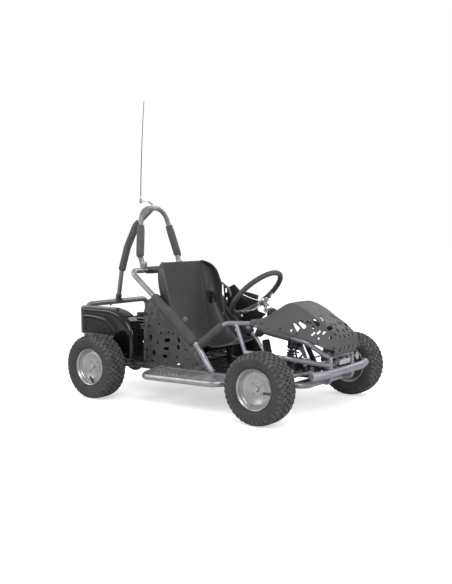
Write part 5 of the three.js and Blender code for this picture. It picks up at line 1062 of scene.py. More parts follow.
cowl = {
    "rearX": -272.0, "top": 455.0, "length": 446.0, "height": 262.0, "inner": 265.0, "outer": 351.0,
    "edge": 30.0,
    "arch": [
        (0, 0.58), (0, 0.3), (0, 0.06), (0.025, 0), (0.3, 0), (0.62, 0), (0.76, 0.05), (0.865, 0.145),
        (0.945, 0.275), (0.99, 0.42), (1, 0.6), (0.998, 0.86), (0.965, 1), (0.862, 1), (0.82, 0.86),
        (0.76, 0.74), (0.68, 0.64), (0.4, 0.57), (0.2, 0.57),
    ],
    "panel": [
        (0.235, 0.205), (0.35, 0.205), (0.462, 0.228), (0.57, 0.27), (0.65, 0.34), (0.69, 0.42),
        (0.715, 0.51), (0.68, 0.555), (0.58, 0.52), (0.42, 0.49), (0.235, 0.5),
    ],
    "samples": 180, "tuckFrom": -186.0, "tuckLength": 86.0, "tuckShare": 0.88, "tuckPower": 1.3,
    "squash": 0.55,
}


def cowlSpots(shares):
    return np.array(shares) * [cowl["length"], -cowl["height"]] + [cowl["rearX"], cowl["top"]]


# even steps round a closed outline, then each point eased towards its neighbours
def rounded(spots, samples, times):
    closedSpots = np.vstack([spots, spots[:1]])
    distance = np.concatenate([[0], np.cumsum(np.linalg.norm(np.diff(closedSpots, axis=0), axis=1))])
    at = np.linspace(0, distance[-1], samples, endpoint=False)
    even = np.stack([np.interp(at, distance, closedSpots[:, k]) for k in (0, 1)], -1)
    for _ in range(times):
        even = 0.5 * even + 0.25 * (np.roll(even, 1, 0) + np.roll(even, -1, 0))
    return even


def inward(spots, distance):  # each point moved square to the outline, towards its inside
    ahead = unit(np.roll(spots, -1, 0) - np.roll(spots, 1, 0))
    area = np.sum(spots[:, 0] * np.roll(spots[:, 1], -1) - np.roll(spots[:, 0], -1) * spots[:, 1])
    return spots + np.stack([-ahead[:, 1], ahead[:, 0]], -1) * math.copysign(distance, area)


cowlOutline = rounded(cowlSpots(cowl["arch"]), cowl["samples"], 12)
panelOutline = rounded(cowlSpots(cowl["panel"]), cowl["samples"], 10)
middle = panelOutline.mean(0)
fromMiddle = np.arctan2(*(cowlOutline - middle).T[::-1])
panelAngle = np.arctan2(*(panelOutline - middle).T[::-1])
order = np.argsort(panelAngle)
match = np.stack([
    np.interp(fromMiddle, panelAngle[order], panelOutline[order, k], period=2 * math.pi) for k in (0, 1)
], -1)


def cowlRing(spots, y):
    return np.stack([spots[:, 0], np.full(len(spots), y), spots[:, 1]], -1)


# the angle along the rounded edge gives how far the ring is in and how far out it stands
def edgeRing(inset, a):
    spots = inward(cowlOutline, inset + cowl["edge"] * (cowl["squash"] if not inset else 0.5)
        * (1 - math.cos(a)))
    return cowlRing(spots, cowl["outer"] - inset - cowl["edge"] + cowl["edge"] * math.sin(a))


# from the rounded edge to the panel, and past it towards the panel's middle
def faceRing(start, share, proud):
    spots = start + (match - start) * min(share, 1.0) + (middle - match) * max(share - 1, 0) * 0.7
    return cowlRing(spots, cowl["outer"] + proud)


def floorRings(proud):  # the panel's outline shrunk to its middle
    shrinks = (0.55, 0.3, 0.1, 0)
    return [cowlRing(middle + (match - middle) * shrink, cowl["outer"] + proud) for shrink in shrinks]


# behind the wheel Y keeps a falling share of its distance from the inner edge, in towards the hoop
def tucked(shell):
    behind = np.clip((cowl["tuckFrom"] - shell[0][:, 0]) / cowl["tuckLength"], 0, 1) ** cowl["tuckPower"]
    shell[0][:, 1] = cowl["inner"] + (shell[0][:, 1] - cowl["inner"]) * (1 - cowl["tuckShare"] * behind)
    return shell


quarter = np.linspace(0, math.pi / 2, 7)
cowlRings = [cowlRing(inward(cowlOutline, 20), cowl["inner"]), cowlRing(cowlOutline, cowl["inner"])]
cowlRings += [edgeRing(0, a) for a in quarter]
faceStart = inward(cowlOutline, cowl["edge"] * cowl["squash"])
outerLine = ((0.25, -0.6), (0.5, -0.6), (0.7, -0.2), (0.78, 2.4), (0.84, 2.8), (0.9, 1.8), (1.0, -2.6),
    (1.02, -6.6), (1.06, -7.6), (1.3, -7.6))
cowlRings += [faceRing(faceStart, *spot) for spot in outerLine] + floorRings(-7.6)
innerRings = [cowlRing(inward(cowlOutline, shrink), cowl["inner"] + 3) for shrink in (20, 3)]
innerRings += [edgeRing(3, a) for a in quarter[:-1]]
innerFace = inward(cowlOutline, cowl["edge"] * cowl["squash"] + 3)
innerLine = ((0.0, -3.4), (0.5, -3.4), (0.86, -3.8), (0.93, -9.0), (1.0, -10.6), (1.3, -10.6))
innerRings += [faceRing(innerFace, *spot) for spot in innerLine] + floorRings(-10.6)
# from the inner middle out to the mouth, then over the outside back to the outer middle
cowlSkin = gridShell(np.array(innerRings[::-1] + cowlRings), closeColumns=True)
# a matte dark plate over the recessed panel's floor is painted shade, darkening the recess
placeSides("cowlRecessShade_{}", tucked(prism(inward(panelOutline, 3), 343.2, 344.6)), "castMetal")
placeSides("rearCowl_{}", tucked(cowlSkin), "glossBlack", nodes=["rear_cowl_{}"], sharp=50)
place("cowlBolts", onBothSides(bolt((132, 351, 226), yAxis, 4)), "blackSteel")
print("cowls made")

# Running boards: tread plate with raised bars, in a bent tube

board = {"rearX": 296, "length": 490, "reach": 172, "plate": (161.5, 165.5), "pitch": 13.0, "barLength": 10.0,
    "barWidth": 3.0, "barHeight": 0.8, "rearDrop": 16.0, "frontDrop": 6.0}
boardRadius, boardBend, boardCorners = runs["board"]
boardPath = bent(boardCorners, boardBend, 12)
boardPlate = prism(boardPath[:, :2], *board["plate"], "xy")
gx, gy = np.meshgrid(np.arange(314, 774, board["pitch"]), np.arange(272, 404, board["pitch"]), indexing="ij")
odd = ((np.arange(gx.shape[0])[:, None] + np.arange(gx.shape[1])[None]) % 2).ravel()
spots = np.stack([gx.ravel(), gy.ravel()], -1)
inCorner = (np.abs(spots[:, 0] - 541) > 195) & (spots[:, 1] > 372)
spots, odd = spots[~inCorner], odd[~inCorner]
barHalf = [board["barLength"] / 2, board["barWidth"] / 2]
barBase = np.array([(-1, 0), (-0.5, -1), (0.5, -1), (1, 0), (0.5, 1), (-0.5, 1)]) * barHalf
slant = np.where(odd, math.pi / 4, -math.pi / 4)
across = onCircle(slant)
upward = np.stack([-np.sin(slant), np.cos(slant)], -1)
slanted = barBase[None, :, :1] * across[:, None] + barBase[None, :, 1:] * upward[:, None]
barRings = []
for share, height in ((1.0, 165.0), (1.0, 165.6), (0.72, 165.5 + board["barHeight"])):
    flat = spots[:, None] + share * slanted
    barRings.append(np.concatenate([flat, np.full((*flat.shape[:2], 1), height)], -1))
boardShell = joined(tube(boardPath, boardRadius, 24), boardPlate, blocks(np.stack(barRings, 1)))
# the outer edge hangs lower, more so at the rear
alongBoard = (boardShell[0][:, 0] - board["rearX"]) / board["length"]
acrossBoard = (boardShell[0][:, 1] - halfWidth) / board["reach"]
drop = board["rearDrop"] + (board["frontDrop"] - board["rearDrop"]) * alongBoard
boardShell[0][:, 2] -= acrossBoard * drop
placeSides("runningBoard_{}", boardShell, "treadPlate", nodes=["running_board_{}"], sharp=30)
place("boardWelds", onBothSides(bead((296, 264, 157), yAxis, 14.5), bead((786, 264, 157), yAxis, 14.5)),
    "silverPaint")

# Floor pan, seat posts and pedals

panRib = prism(slotOutline(440, 12, 6), 159.4, 162.0, "xy")
panRibs = [moved(panRib, offset=(630, y, 0)) for y in (-180, -120, -60, 60, 120, 180)]
posts = onBothSides(
    rod((455, 105, 158), (455, 105, 236), 11), disc(20, 0, 4, (455, 105, 235), zAxis, 30),
)
ears = [box((882, y, 179), (24, 4, 42)) for y in (97, 139)]
pins = [rod((882, 93, 192), (882, 143, 192), 4, 14), bolt((882, 143, 192), yAxis, 5)]
place(
    "floorPan",
    joined(
        box((635, 0, 158), (610, 500, 3)), *panRibs, crossTube(345), crossTube(700), posts,
        onBothSides(*ears, *pins),
        onBothSides(*[bolt((x, 232, 159.5), zAxis, 5) for x in (380, 560, 740, 900)]),
    ),
    "blackSteel", nodes=["floor_pan"], bevel=0.0008,
)

pedalPad = prism(slotOutline(62, 74, 12), -2, 2, "xy")
pedalRib = prism(slotOutline(50, 4, 1.9), 2, 4.2, "xy")
pedalRibs = [moved(pedalRib, offset=(0, y, 0)) for y in np.linspace(-28, 28, 8)]
facing = turn("Y", -90) @ turn("Z", 90)
pedalBody = joined(
    bush(4.8, 9, -18, 18, (0, 0, 0), yAxis, 28),
    rod((0, 0, 4), (0, 0, 112), 5, 16), rod((0, 0, 60), (14, 0, 52), 3, 10),
    disc(4.5, -3, 3, (15, 0, 51), yAxis, 16),
)
for node, body, side in (("throttle_pedal", "throttle", -1), ("brake_pedal", "brake", 1)):
    lean, spot = turn("Y", -14), (882, side * 118, 192)
    place(f"{node}_arm", moved(pedalBody, lean, spot), "blackSteel", body, nodes=[node])
    face = moved(joined(pedalPad, *pedalRibs), facing, (-5, 0, 112))
    place(f"{node}_pad", moved(face, lean, spot), "gripFoam", body, bevel=0.0005)
print("floor made")

# Front tower, suspension arms, shocks, knuckles and tie rods

frontX, pinY, armXs, armZ = 1020, 345, (960, 1080), 192  # wheel, kingpin and the arms' pivots
tieX, tieZ = 960, 225
pivotParts = []
for x in armXs:
    pivotParts += [box((x + end * 14, 70, 180.5), (4, 26, 45)) for end in (-1, 1)]
    pivotParts += [box((x, 70, 167), (28, 26, 8)), bolt((x + 16, 70, armZ), xAxis, 7),
        bolt((x - 16, 70, armZ), (-1, 0, 0), 7)]
lowerBearing = steer["spot"] + steerTurn @ np.array([0, 0, -352.0])
webShares = np.array([(0.025, 0.116), (0.116, 0.025), (0.217, 0.126), (0.794, -0.951), (1.008, -0.951),
    (0.343, 0.257), (0.156, 0.248)])
tower = joined(
    *[crossTube(x) for x in armXs], run("spine"), onBothSides(*pivotParts),
    prism(webShares * 140 + lowerBearing[[0, 2]], -4, 4),
    onSteer(bush(9.8, 20, -12, 12, (0, 0, -352), zAxis, 32)),
)
place("frontTower", tower, "blackSteel", nodes=["front_tower"], bevel=0.001)

armParts = []
for x in armXs:
    armParts += [
        bush(5.8, 11, -11, 11, (x, 70, armZ), xAxis, 28),
        rod((x, 80, armZ), (frontX, pinY, armZ), 8),
        bead((x + (frontX - x) * 0.045, 82, armZ), (frontX - x, 275, 0), 8.5, 2.2),
    ]
armParts += [
    rod((992, 212, armZ), (1051, 212, armZ), 8),
    *[prism([(201, armZ), (201, 220), (206, 224), (218, 224), (223, 220), (223, armZ)], x - 2, x + 2, "yz")
        for x in earXs],
    rod((1025, 212, 214), (1055, 212, 214), 4, 14), bolt((1055, 212, 214), xAxis, 5),
    bush(6.6, 13, -20, 20, (frontX, pinY, armZ), zAxis, 32),
]
armShell = joined(*armParts)
knuckleParts = joined(
    box((frontX, 351.5, 216), (34, 39, 6)), box((frontX, 351.5, 168), (34, 39, 6)),
    box((frontX, 368, 183.5), (34, 6, 71)),
    box((990, 345, 216), (76, 16, 6)),
    rod((frontX, pinY, 160), (frontX, pinY, 225), 6, 20), bolt((frontX, pinY, 219), zAxis, 8),
    bolt((frontX, pinY, 165), (0, 0, -1), 8),
    rod((frontX, 365, axleHeight), (frontX, 441, axleHeight), 7.8, 24),
    turned([(0, 0), (13, 0), (13, 28), (11, 31), (0, 31)], (frontX, 365, axleHeight), yAxis, 32),
    rod((960, 345, 213), (960, 345, 233), 4, 14), bolt((960, 345, 231), zAxis, 5),
)
tieEye = turned([(4.7, -5), (8.5, -5), (10, -2), (10, 2), (8.5, 5), (4.7, 5)], (tieX, pinY, tieZ), zAxis, 28,
    closed=True)
tieShell = joined(
    tieEye, rod((tieX, 335, tieZ), (tieX, 306, tieZ), 6.5, 18), disc(7.5, 0, 6, (tieX, 302, tieZ), yAxis, 6),
    rod((tieX, 306, tieZ), (tieX, 50, tieZ), 5, 18), disc(7.5, 0, 6, (tieX, 58, tieZ), yAxis, 6),
    rod((tieX, 54, tieZ), (tieX, 34, tieZ), 8, 18),
)
spring = {"radius": 17.0, "wire": 3.9, "turns": 6.0, "seat": 18.0, "gap": 0.4, "stroke": 21.0}
top = np.array([shock["x"], shock["topHalfGap"], shock["topHeight"]])
foot = np.array([shock["x"], shock["footHalfGap"], shock["footHeight"]])
shockSpan = np.linalg.norm(foot - top)
shockAxis = (foot - top) / shockSpan
eyeProfile = [(4.8, -8), (8.5, -8), (10, -6), (10, 6), (8.5, 8), (4.8, 8)]
upperShell = joined(
    turned(eyeProfile, top, xAxis, 28, closed=True),
    turned([(0, 6), (7, 6), (7, 14), (23, 14), (23, 16.5), (21, 18), (12.7, 18), (12.7, 69), (11.5, 70),
        (5.4, 70), (5.4, 40), (0, 40)], top, shockAxis, 36),
    disc(12.6, 20, 27, top, shockAxis, 36),
)
lowerShell = joined(
    turned(eyeProfile, foot, xAxis, 28, closed=True),
    turned([(0, 67), (5, 67), (5, 94.6), (21, 94.6), (23, 96), (23, 98.6), (8, 98.6), (8, 104), (0, 104)],
        top, shockAxis, 36),
)
wind = np.linspace(0, 1, 161)
lowEnd = spring["seat"] + spring["wire"] + spring["gap"]
highEnd = shockSpan - spring["seat"] - spring["wire"] - spring["gap"]
sideAxis = unit(np.cross(shockAxis, [1.0, 0, 0]))
frontAxis = np.cross(sideAxis, shockAxis)
windAngle = 2 * math.pi * spring["turns"] * wind
springRound = np.cos(windAngle)[:, None] * frontAxis + np.sin(windAngle)[:, None] * sideAxis
springClimb = (lowEnd + (highEnd - lowEnd) * wind)[:, None] * shockAxis
springPath = top + springClimb + spring["radius"] * springRound
springShell = tube(springPath, spring["wire"], 10)
placeSides("arm_{}_tubes", armShell, "silverPaint", "suspension_arm_{}", ["arm_{}"])
placeSides("knuckle_{}_body", knuckleParts, "blackSteel", "steering_knuckle_{}", ["knuckle_{}"], bevel=0.0008)
placeSides("tie_rod_{}_link", tieShell, "bareSteel", "track_rod_{}", ["tie_rod_{}"])
placeSides("shock_upper_{}_body", upperShell, "blackSteel", "shock_body_{}", ["shock_upper_{}"], sharp=40)
placeSides("shock_lower_{}_body", lowerShell, "blackSteel", "shock_shaft_{}", ["shock_lower_{}"], sharp=40)
coils = placeSides("spring_{}_coil", springShell, "blackSteel", "shock_body_{}", ["spring_{}"])
for coil, (name, side) in zip(coils, layout["sides"]):
    anchor = (top + shockAxis * spring["seat"] - [layout["originStation"], 0, 0]) * layout["metre"]
    anchor = anchor * [1, side, 1]
    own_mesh(coil)
print("suspension made")

# Steering wheel and column

ringAngle = np.linspace(0, 2 * math.pi, 144, endpoint=False)
ringPath = np.pad(onCircle(ringAngle) * steer["ring"], ((0, 0), (0, 1)))
gripRadius = steer["grip"] + 0.4 * np.cos(ringAngle * 36)
place("steeringRim", onSteer(tube(ringPath, gripRadius, 20, closed=True)), "gripFoam", "steering",
    nodes=["steering_wheel"], sharp=60)
spokeWidth = np.array([14, 13, 12, 11, 10, 10, 10.5])
spokeLine = splineAt([(-12, -58), (-50, -56.5), (-88, -40), (-118, -18), (-147, 0)], np.linspace(0, 1, 7))
spokeGrid = np.stack([
    np.stack([spokeLine[:, 0], edge * spokeWidth, spokeLine[:, 1]], -1) for edge in (-1, -0.85, 0.85, 1)
], 1)
spokeNormal = gridNormals(spokeGrid)
spoke = slabShell(spokeGrid + 2.2 * spokeNormal, spokeGrid - 2.2 * spokeNormal)
spider = joined(
    *[moved(spoke, turn("Z", degrees)) for degrees in (0, 90, 270)],
    turned([(0, -61), (32, -61), (32, -57), (28, -55), (14, -54.5), (12, -50), (0, -50)], (0, 0, 0), zAxis,
        48),
    bolt((0, 0, -50), zAxis, 8),
    *[bolt((22 * math.cos(a), 22 * math.sin(a), -55), zAxis, 4) for a in np.radians((60, 180, 300))],
)
place("steeringSpider", onSteer(spider), "chrome", "steering", bevel=0.0008)
column = joined(
    turned([(0, -61), (22, -61.5), (22, -67), (14, -69), (13, -90), (9, -92), (9, -402), (0, -402)],
        (0, 0, 0), zAxis, 36),
    moved(prism(slotOutline(60, 18, 8), -402, -396, "xy"), offset=(-21, 0, 0)),
    moved(prism(slotOutline(18, 44, 8), -402, -396, "xy"), offset=(-42, 0, 0)),
)
place("steeringColumn", onSteer(column), "silverPaint", "steering", nodes=["steering_column"], bevel=0.0006)
columnClamp = joined(
    turned([(9.4, -112), (17, -112), (18, -110), (18, -94), (17, -92), (9.4, -92)], (0, 0, 0), zAxis, 36,
        closed=True),
    box((-20, 0, -102), (14, 16, 18)), bolt((-21, 8, -102), yAxis, 4), bolt((-21, -8, -102), (0, -1, 0), 4),
)
place("columnClamp", onSteer(columnClamp), "chrome", "steering", bevel=0.0008)
print("steering made")

# Wheels

tyre = {
    "outer": [
        (86.6, 41), (89, 44.5), (93, 45.5), (96, 44.5), (98.5, 47), (102, 49.5), (108, 54), (116, 57.5),
        (124, 59.4), (132, 60), (139, 59.2), (146, 57), (151.5, 53), (155.4, 47), (158, 38), (159.4, 26),
        (160, 12),
    ],
    "inner": [(152, 0), (150, 28), (146, 44), (136, 51), (120, 50), (104, 44), (94, 38), (89, 34)],
}
outer, inner = np.array(tyre["outer"]), np.array(tyre["inner"])
carcass = np.vstack([outer, [(160, 0)], (outer * [1, -1])[::-1], (inner * [1, -1])[::-1], inner[1:]])
carcassShell = turned(carcass, (0, 0, 0), yAxis, 96, closed=True)


# a shape given as along, across and out from the axle, repeated round the tyre
def roundWheel(shape, count, start):
    angle = (np.arange(count) + start) / count * 2 * math.pi
    angle = angle.reshape(-1, *[1] * (shape.ndim - 1)) + shape[..., 0] / shape[..., 2]
    across = np.broadcast_to(shape[..., 1], angle.shape)
    return np.stack([shape[..., 2] * np.cos(angle), across, shape[..., 2] * np.sin(angle)], -1)


# blocks on a ring, narrowed upward
def lugRow(count, start, y, length, width, height, tilt=0.0, skew=0.0, sink=4.0):
    base = np.array([(-1, -1), (1, -1), (1, 1), (-1, 1)]) * [length / 2, width / 2]
    radius = np.interp(abs(y), outer[::-1, 1][:9], outer[::-1, 0][:9])
    lean = math.radians(tilt)
    layers = []
    for share, rise in ((1.0, -sink), (0.98, height - 1), (0.9, height)):
        along, across = base[:, 0] * share + skew * base[:, 1] * share, base[:, 1] * share
        layers.append(np.stack([
            along, y + across * math.cos(lean) + rise * math.sin(lean) * np.sign(y),
            radius + rise * math.cos(lean) - across * math.sin(lean) * np.sign(y),
        ], -1))
    return blocks(roundWheel(np.array(layers), count, start))


# low ribs that run down the shoulder: half their width, across and out, on the skin and below it
def sideLugs(count, start, side):
    skins = np.array([
        [(8.5, 47, 158.5), (8, 54.8, 152.5), (7, 59.2, 145), (5.5, 60.9, 137)],
        [(9.5, 44, 150), (9, 50, 146), (8, 54, 141), (6.5, 57, 136)],
    ])
    corners = np.stack([skins * [1, side, 1], skins * [-1, side, 1]], 2)
    return joined(*[slabShell(*one) for one in roundWheel(corners, count, start)])


lugParts = [
    lugRow(38, 0.0, 0.01, 18, 17, 5), lugRow(38, 0.5, 19.5, 18, 17, 5, 0, 0.25),
    lugRow(38, 0.5, -19.5, 18, 17, 5, 0, -0.25),
    lugRow(38, 0.0, 39.5, 18, 18, 4.8, 12, -0.2), lugRow(38, 0.0, -39.5, 18, 18, 4.8, 12, 0.2),
    sideLugs(38, 0.5, 1), sideLugs(38, 0.5, -1),
]
ringsOnWall = [
    turned([(r - 1.2, y - 1.5), (r - 1.2, y + 0.9), (r, y + 1.4), (r + 1.2, y + 0.9), (r + 1.2, y - 1.5)],
        (0, 0, 0), yAxis, 96, closed=True)
    for r, y in ((112, 55.6), (120, 58.2))
]
tyreShell = joined(carcassShell, *lugParts, onBothSides(*ringsOnWall))

rimOuter = [
    (94, 50), (95, 49), (95, 46.5), (93, 45), (88.5, 43), (86.4, 40), (86.2, 30), (84, 26), (80, 23),
    (79, 20), (79, -28), (84, -31), (86.2, -34), (86.2, -40), (88.5, -43), (93, -45), (95, -46.5),
    (95, -49), (94, -50), (91, -49), (84, -42), (82, -36), (76, -28), (75, 12), (66, 22), (50, 18),
    (30, 14), (26, 12), (24, -37), (9, -38), (9, 9), (0, 9), (0, 31), (9, 31), (11, 29), (13, 26),
    (14, 21), (25, 20.5), (26.5, 18.5), (34, 19), (44, 21.5), (56, 26), (64, 30), (69, 32), (73, 31.5),
    (76, 29), (79, 28.5), (82, 31.5), (84, 36.5), (86, 42), (91, 48.5), (93, 50),
]
hubBolts = [bolt((31 * math.cos(a), 19, 31 * math.sin(a)), yAxis, 4) for a in np.radians((45, 135, 225, 315))]
hubNut = turned([(0, 24), (12.5, 24), (12.5, 35), (11, 36.5), (0, 36.5)], (0, 0, 0), yAxis, 6)
wheels = [("front", frontX, -10, 100), ("rear", 0, -88, 58)]
for end, x, stemRight, stemLeft in wheels:
    for name, side in layout["sides"]:
        spot = (x, side * layout["halfTrack"], axleHeight)
        body = f"front_wheel_{name}" if end == "front" else "rear_axle_set"
        roll = turn("Y", 4.0 if side > 0 else 0.0)
        place(f"{end}_tyre_{name}_rubber", moved(onSide(side, tyreShell), roll, spot), "tyreRubber", body,
            nodes=[f"{end}_tyre_{name}"], sharp=32)
        rimShell = joined(turned(rimOuter, (0, 0, 0), yAxis, 96), hubNut, *hubBolts)
        place(f"{end}_rim_{name}_dish", moved(onSide(side, rimShell), None, spot), "rimSilver", body,
            nodes=[f"{end}_rim_{name}"], sharp=38)
        angle = math.radians(stemRight if side < 0 else stemLeft)
        out = np.array([math.cos(angle), 0, math.sin(angle)])
        stem = joined(
            rod(out * 76 + [0, 27, 0], out * 52 + [0, 45, 0], 5.2, 16),
            rod(out * 60 + [0, 39, 0], out * 51 + [0, 45.8, 0], 6.4, 16),
            rod(out * 77 + [0, 26.5, 0], out * 70 + [0, 31.7, 0], 7, 18),
        )
        place(f"{end}_valve_{name}", moved(onSide(side, stem), None, spot), "blackSteel", body)
        backPlate = bush(25, 75.4, -29, -26, (0, 0, 0), yAxis, 64)
        place(f"{end}_back_{name}", moved(onSide(side, backPlate), None, spot), "blackSteel", body)
print("wheels made")

# Engine, its tank, air filter, starter and muffler

engine = {"crank": (120.0, 0, 245.0), "lean": -65}
crankX, _, crankZ = engine["crank"]
cylinderTurn = turn("Y", engine["lean"])
fins = [box((0, 0, 70 + k * 6.5), (88, 88, 2.4)) for k in range(8)]
headBolts = [bolt((a * 28, b * 24, 131), zAxis, 4.5) for a in (-1, 1) for b in (-1, 1)]
barrel, head = box((0, 0, 61), (70, 70, 122)), box((0, 0, 124), (74, 66, 14))
cylinder = moved(joined(barrel, *fins, head, *headBolts), cylinderTurn, engine["crank"])
crankcase = joined(
    box((crankX, -7, 237), (124, 154, 128)), box((crankX, -7, 178), (140, 166, 10)),
    *[bolt((x, -84, z), (0, -1, 0), 5) for z in (186, 290, 238) for x in (66, 174)],
    disc(44, -86, -84, engine["crank"], yAxis, 40),
    rod(engine["crank"], (crankX, -140, crankZ), 8, 20), bolt((crankX, -141, crankZ), (0, -1, 0), 8),
    rod((crankX, 40, crankZ), (crankX, 40, 337.4), 8), rod((crankX, -40, crankZ), (crankX, -40, 337.4), 8),
    rod((17, 40, 243), (17, 75, 243), 12), rod((60, -60, 200), (60, -84, 192), 9, 18),
    bolt((60, -88, 190.5), (0, -1, -0.33), 9),
)
place("engineCase", crankcase, "castMetal", nodes=["engine_block"], bevel=0.003)
place("engineCylinder", cylinder, "castMetal", bevel=0.0006)
ropeY, ropeZ = 89, 288.8
starterProfile = [(0, 66), (62, 66), (62, 96), (58, 104), (36, 108), (34, 112), (33, 116), (0, 116)]
starterSlot = moved(prism(slotOutline(16, 5, 2.4), 100, 120), offset=(46, 0, 0))
starterSlots = [moved(starterSlot, turn("Y", degrees), engine["crank"]) for degrees in range(0, 360, 24)]
place("starterCover", turned(starterProfile, engine["crank"], yAxis, 64), "blackSteel", bevel=0.0015,
    cutters=joined(*starterSlots))
place("starterGuide", box((76.2, ropeY, ropeZ), (28, 14, 14)), "blackSteel", bevel=0.002)
filterSpot = (17, 95, 243)
filterShell = joined(
    box(filterSpot, (74, 50, 54)), box((17, 121, 243), (66, 3, 46)),
    *[bolt((x, 122, 243), yAxis, 5) for x in (-8, 42)],
    *[box((17, 95, 243 + k), (76, 44, 2)) for k in (-20, -10, 0, 10, 20)],
)
place("airFilter", filterShell, "panelPlastic", bevel=0.003)
handleX = crankX - 62 * math.sqrt(0.5) - 14.3
handleShare = np.linspace(-1, 1, 15)
handlePath = [(handleX - 14 - 2 * math.cos(a * math.pi), ropeY + a * 26, ropeZ) for a in handleShare]
place(
    "recoilHandle",
    joined(
        rod((handleX, ropeY, ropeZ), (handleX - 18, ropeY, ropeZ), 4.5, 14),
        tube(handlePath, 7.6 - 1.6 * np.abs(handleShare) ** 4, 20),
    ),
    "blackSteel", "starter_handle", nodes=["recoil_handle"], sharp=60,
)
tank = {"middle": (53, -34), "length": 190, "width": 196, "corner": 30}
tankOutline = slotOutline(tank["length"], tank["width"], tank["corner"], 8)
tankLevels = [
    (0.86, 338.5), (0.95, 340.5), (0.99, 346), (1.0, 354), (1.0, 365), (1.018, 366), (1.018, 371),
    (1.0, 372), (1.0, 382), (0.985, 389), (0.94, 394.5), (0.84, 397.5),
]
tankShell = stacked(tankOutline, tank["middle"], tankLevels)
filler = turned([(0, 0), (20, 0), (20, 4), (16, 6), (16, 7.6), (0, 7.6)], (0, -85, 397), zAxis, 36)
place("fuelTank", joined(tankShell, filler), "glossBlack", nodes=["fuel_tank"], sharp=40)
# two bright steel strips across the tank's near face are painted highlights, standing in for the light lines on
# the glossy tank
place("tankHighlightStrips", joined(*[box((64, -132.6, z), (140, 2.4, 5)) for z in (374, 357)]), "bareSteel",
    bevel=0.0004)
capAngle = np.linspace(0, 2 * math.pi, 72, endpoint=False)
capRidge = 24.2 + 0.8 * np.cos(capAngle * 18)
capLevels = [(0.72, 399), (0.99, 399), (1, 402), (1, 411), (0.93, 414.6), (0.6, 415.3), (0.3, 415.0)]
capShell = stacked(capRidge[:, None] * onCircle(capAngle), (0, -85), capLevels)
place("fuelCap", capShell, "panelPlastic", "tank_cap", nodes=["fuel_cap"], sharp=50)
mufflerOutline = slotOutline(118, 116, 26, 6)
mufflerLevels = [(0.9, 252.4), (0.98, 254), (1, 258), (1, 283), (1.02, 284), (1.02, 287), (1, 288), (1, 312),
    (0.98, 316), (0.9, 317.6)]
place(
    "muffler",
    joined(
        stacked(mufflerOutline, (-91, 0), mufflerLevels), rod((-36, 0, 285), (8, 0, 285), 12),
        sleeve(np.array([(-150, 29, 270), (-184, 29, 270)], float), 9, 7, 24),
    ),
    "blackSteel", nodes=["muffler"], sharp=40,
)
print("engine made")

# Chain drive, brake and rear axle

# X, Z and radius of both sprockets
drive = {"y": -141, "axle": (0, axleHeight, 57), "clutch": (crankX, crankZ, 21), "pitch": 12.7}


def sprocket(spot, teeth):  # the radius falls between teeth as a squared cosine
    angle = np.linspace(0, 2 * math.pi, teeth * 8, endpoint=False)
    reach = spot[2] - 4 * (1 - np.cos(teeth * angle / 2) ** 2) ** 0.7
    return prism(spot[:2] + reach[:, None] * onCircle(angle), -143, -139)


reachX, climb, taper = np.subtract(drive["clutch"], drive["axle"]).tolist()
toward = math.atan2(climb, reachX)
lap = math.acos(-taper / math.hypot(reachX, climb))
loopAngles = (np.linspace(toward + lap, toward + 2 * math.pi - lap, 60),
    np.linspace(toward - lap, toward + lap, 30))
loopPath = np.vstack([
    [cx, cz] + (r + 2.4) * onCircle(a) for (cx, cz, r), a in zip((drive["axle"], drive["clutch"]), loopAngles)
])
loopPath = np.vstack([loopPath, loopPath[:1]])
distance = np.concatenate([[0], np.cumsum(np.linalg.norm(np.diff(loopPath, axis=0), axis=1))])
linkCount = 2 * round(distance[-1] / drive["pitch"] / 2)
at = np.arange(linkCount) * distance[-1] / linkCount
pins = np.stack([np.interp(at, distance, loopPath[:, k]) for k in (0, 1)], -1)
links = []
for k in range(linkCount):
    start, end = pins[k], pins[(k + 1) % linkCount]
    along = (end - start) / np.linalg.norm(end - start)
    square = np.array([-along[1], along[0]])
    angle = np.linspace(math.pi / 2, 1.5 * math.pi, 5)
    cap = 4.2 * onCircle(angle)
    outline = np.vstack([start + cap[:, :1] * along + cap[:, 1:] * square,
        end - cap[:, :1] * along - cap[:, 1:] * square])
    low = 2.6 if k % 2 else 3.7
    for way in (1, -1):
        links.append(prism(outline, *sorted((drive["y"] + way * low, drive["y"] + way * (low + 1)))))
    links.append(rod((start[0], -145, start[1]), (start[0], -137, start[1]), 2.6, 8))
place("driveChain", joined(*links), "blackSteel", nodes=["chain"])
guardAngles = (np.linspace(toward + lap, toward + 1.5 * math.pi, 30),
    np.linspace(toward - lap - 0.1, toward + lap, 16))
guardOutline = np.vstack([
    [cx, cz] + r * onCircle(a) for (cx, cz, r), a in zip(((0, axleHeight, 59), (crankX, crankZ, 34)),
        guardAngles)
])
place("chainGuard", prism(guardOutline, -156, -153), "blackSteel", bevel=0.0008)
drum = joined(
    turned([(8.8, -132), (38, -132), (38, -100), (36, -98), (8.8, -98)], engine["crank"], yAxis, 48,
        closed=True),
    bush(8.8, 13, -139, -132, engine["crank"], yAxis, 32),
    sprocket(drive["clutch"], 11),
)
place("clutchDrum", drum, "blackSteel", "clutch", nodes=["clutch_sprocket"], bevel=0.0006)


def axleHole(degrees, reach, low, high, radius, sides):  # along the axle, at an angle and a reach from it
    angle = math.radians(degrees)
    x, z = reach * math.cos(angle), axleHeight + reach * math.sin(angle)
    return rod((x, low, z), (x, high, z), radius, sides)


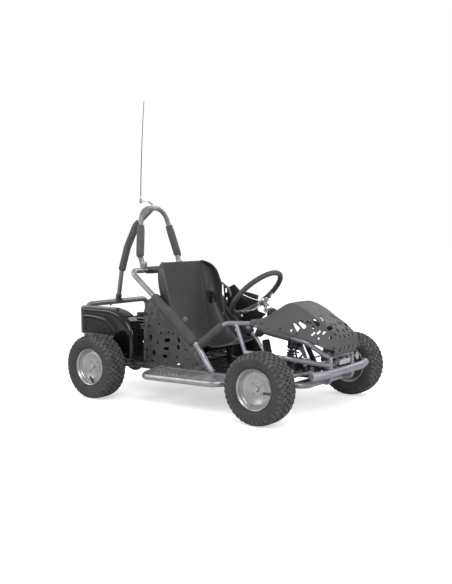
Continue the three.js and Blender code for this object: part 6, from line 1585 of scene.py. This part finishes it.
lightening = [axleHole(degrees, 34, -150, -130, 7.5, 24) for degrees in range(0, 360, 60)]
place("axleSprocket", sprocket(drive["axle"], 30), "blackSteel", "rear_axle_set", nodes=["axle_sprocket"],
    cutters=joined(*lightening))
hub = turned([(12.8, 0), (24, 0), (24, 4), (20, 6), (20, 26), (12.8, 28)], (0, 0, 0), yAxis, 40, closed=True)
hubScrews = [
    bolt((17.5 * math.cos(a), 1, 17.5 * math.sin(a)), (0, -1, 0), 3) for a in np.radians(range(30, 390, 60))
]
place("sprocketHub", moved(joined(hub, *hubScrews), None, (0, -141, axleHeight)), "blackSteel",
    "rear_axle_set")
discHoles = [
    axleHole(degrees + shift, reach, 130, 150, 3, 14)
    for reach, shift in ((36, 0), (46, 15)) for degrees in range(0, 360, 30)
]
brakeRing = bush(12.8, 56, 138, 142, (0, 0, axleHeight), yAxis, 72)
place("brakeDisc", brakeRing, "bareSteel", "rear_axle_set", nodes=["brake_disc"], cutters=joined(*discHoles))
place("discHub", moved(mirrored(joined(hub, *hubScrews)), None, (0, 140, axleHeight)), "blackSteel",
    "rear_axle_set")
caliperTurn = turn("Y", 45)
jaws = [box((0, y, 47), (52, 13.5, 38)) for y in (129.75, 150.25)]
caliper = moved(joined(*jaws, box((0, 140, 63), (52, 34, 8)), bolt((12, 157, 44), yAxis, 5),
    bolt((-12, 157, 44), yAxis, 5)), caliperTurn, (0, 0, axleHeight))
armOutline = np.array([(0.18, 0.18), (0.4, 0.42), (1.0, 0.02), (1.0, -0.1), (0.93, -0.1)]) * 112 + [0,
    axleHeight]
place("brakeCaliper", joined(caliper, prism(armOutline, 149, 153)), "castMetal", nodes=["brake_caliper"],
    bevel=0.0015)
axleCollars = bush(12.6, 18, -32, -20, (0, halfWidth, axleHeight), yAxis, 32)
place(
    "rearAxle", joined(rod((0, -440, axleHeight), (0, 440, axleHeight), 12.4, 28),
        onBothSides(axleCollars, bolt((0, 224, 183), zAxis, 3))), "bareSteel",
    "rear_axle_set", nodes=["rear_axle"],
)
print("drive made")

size = {"cad": [list(corner) for corner in cadBox], "visual": [list(corner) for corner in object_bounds()]}
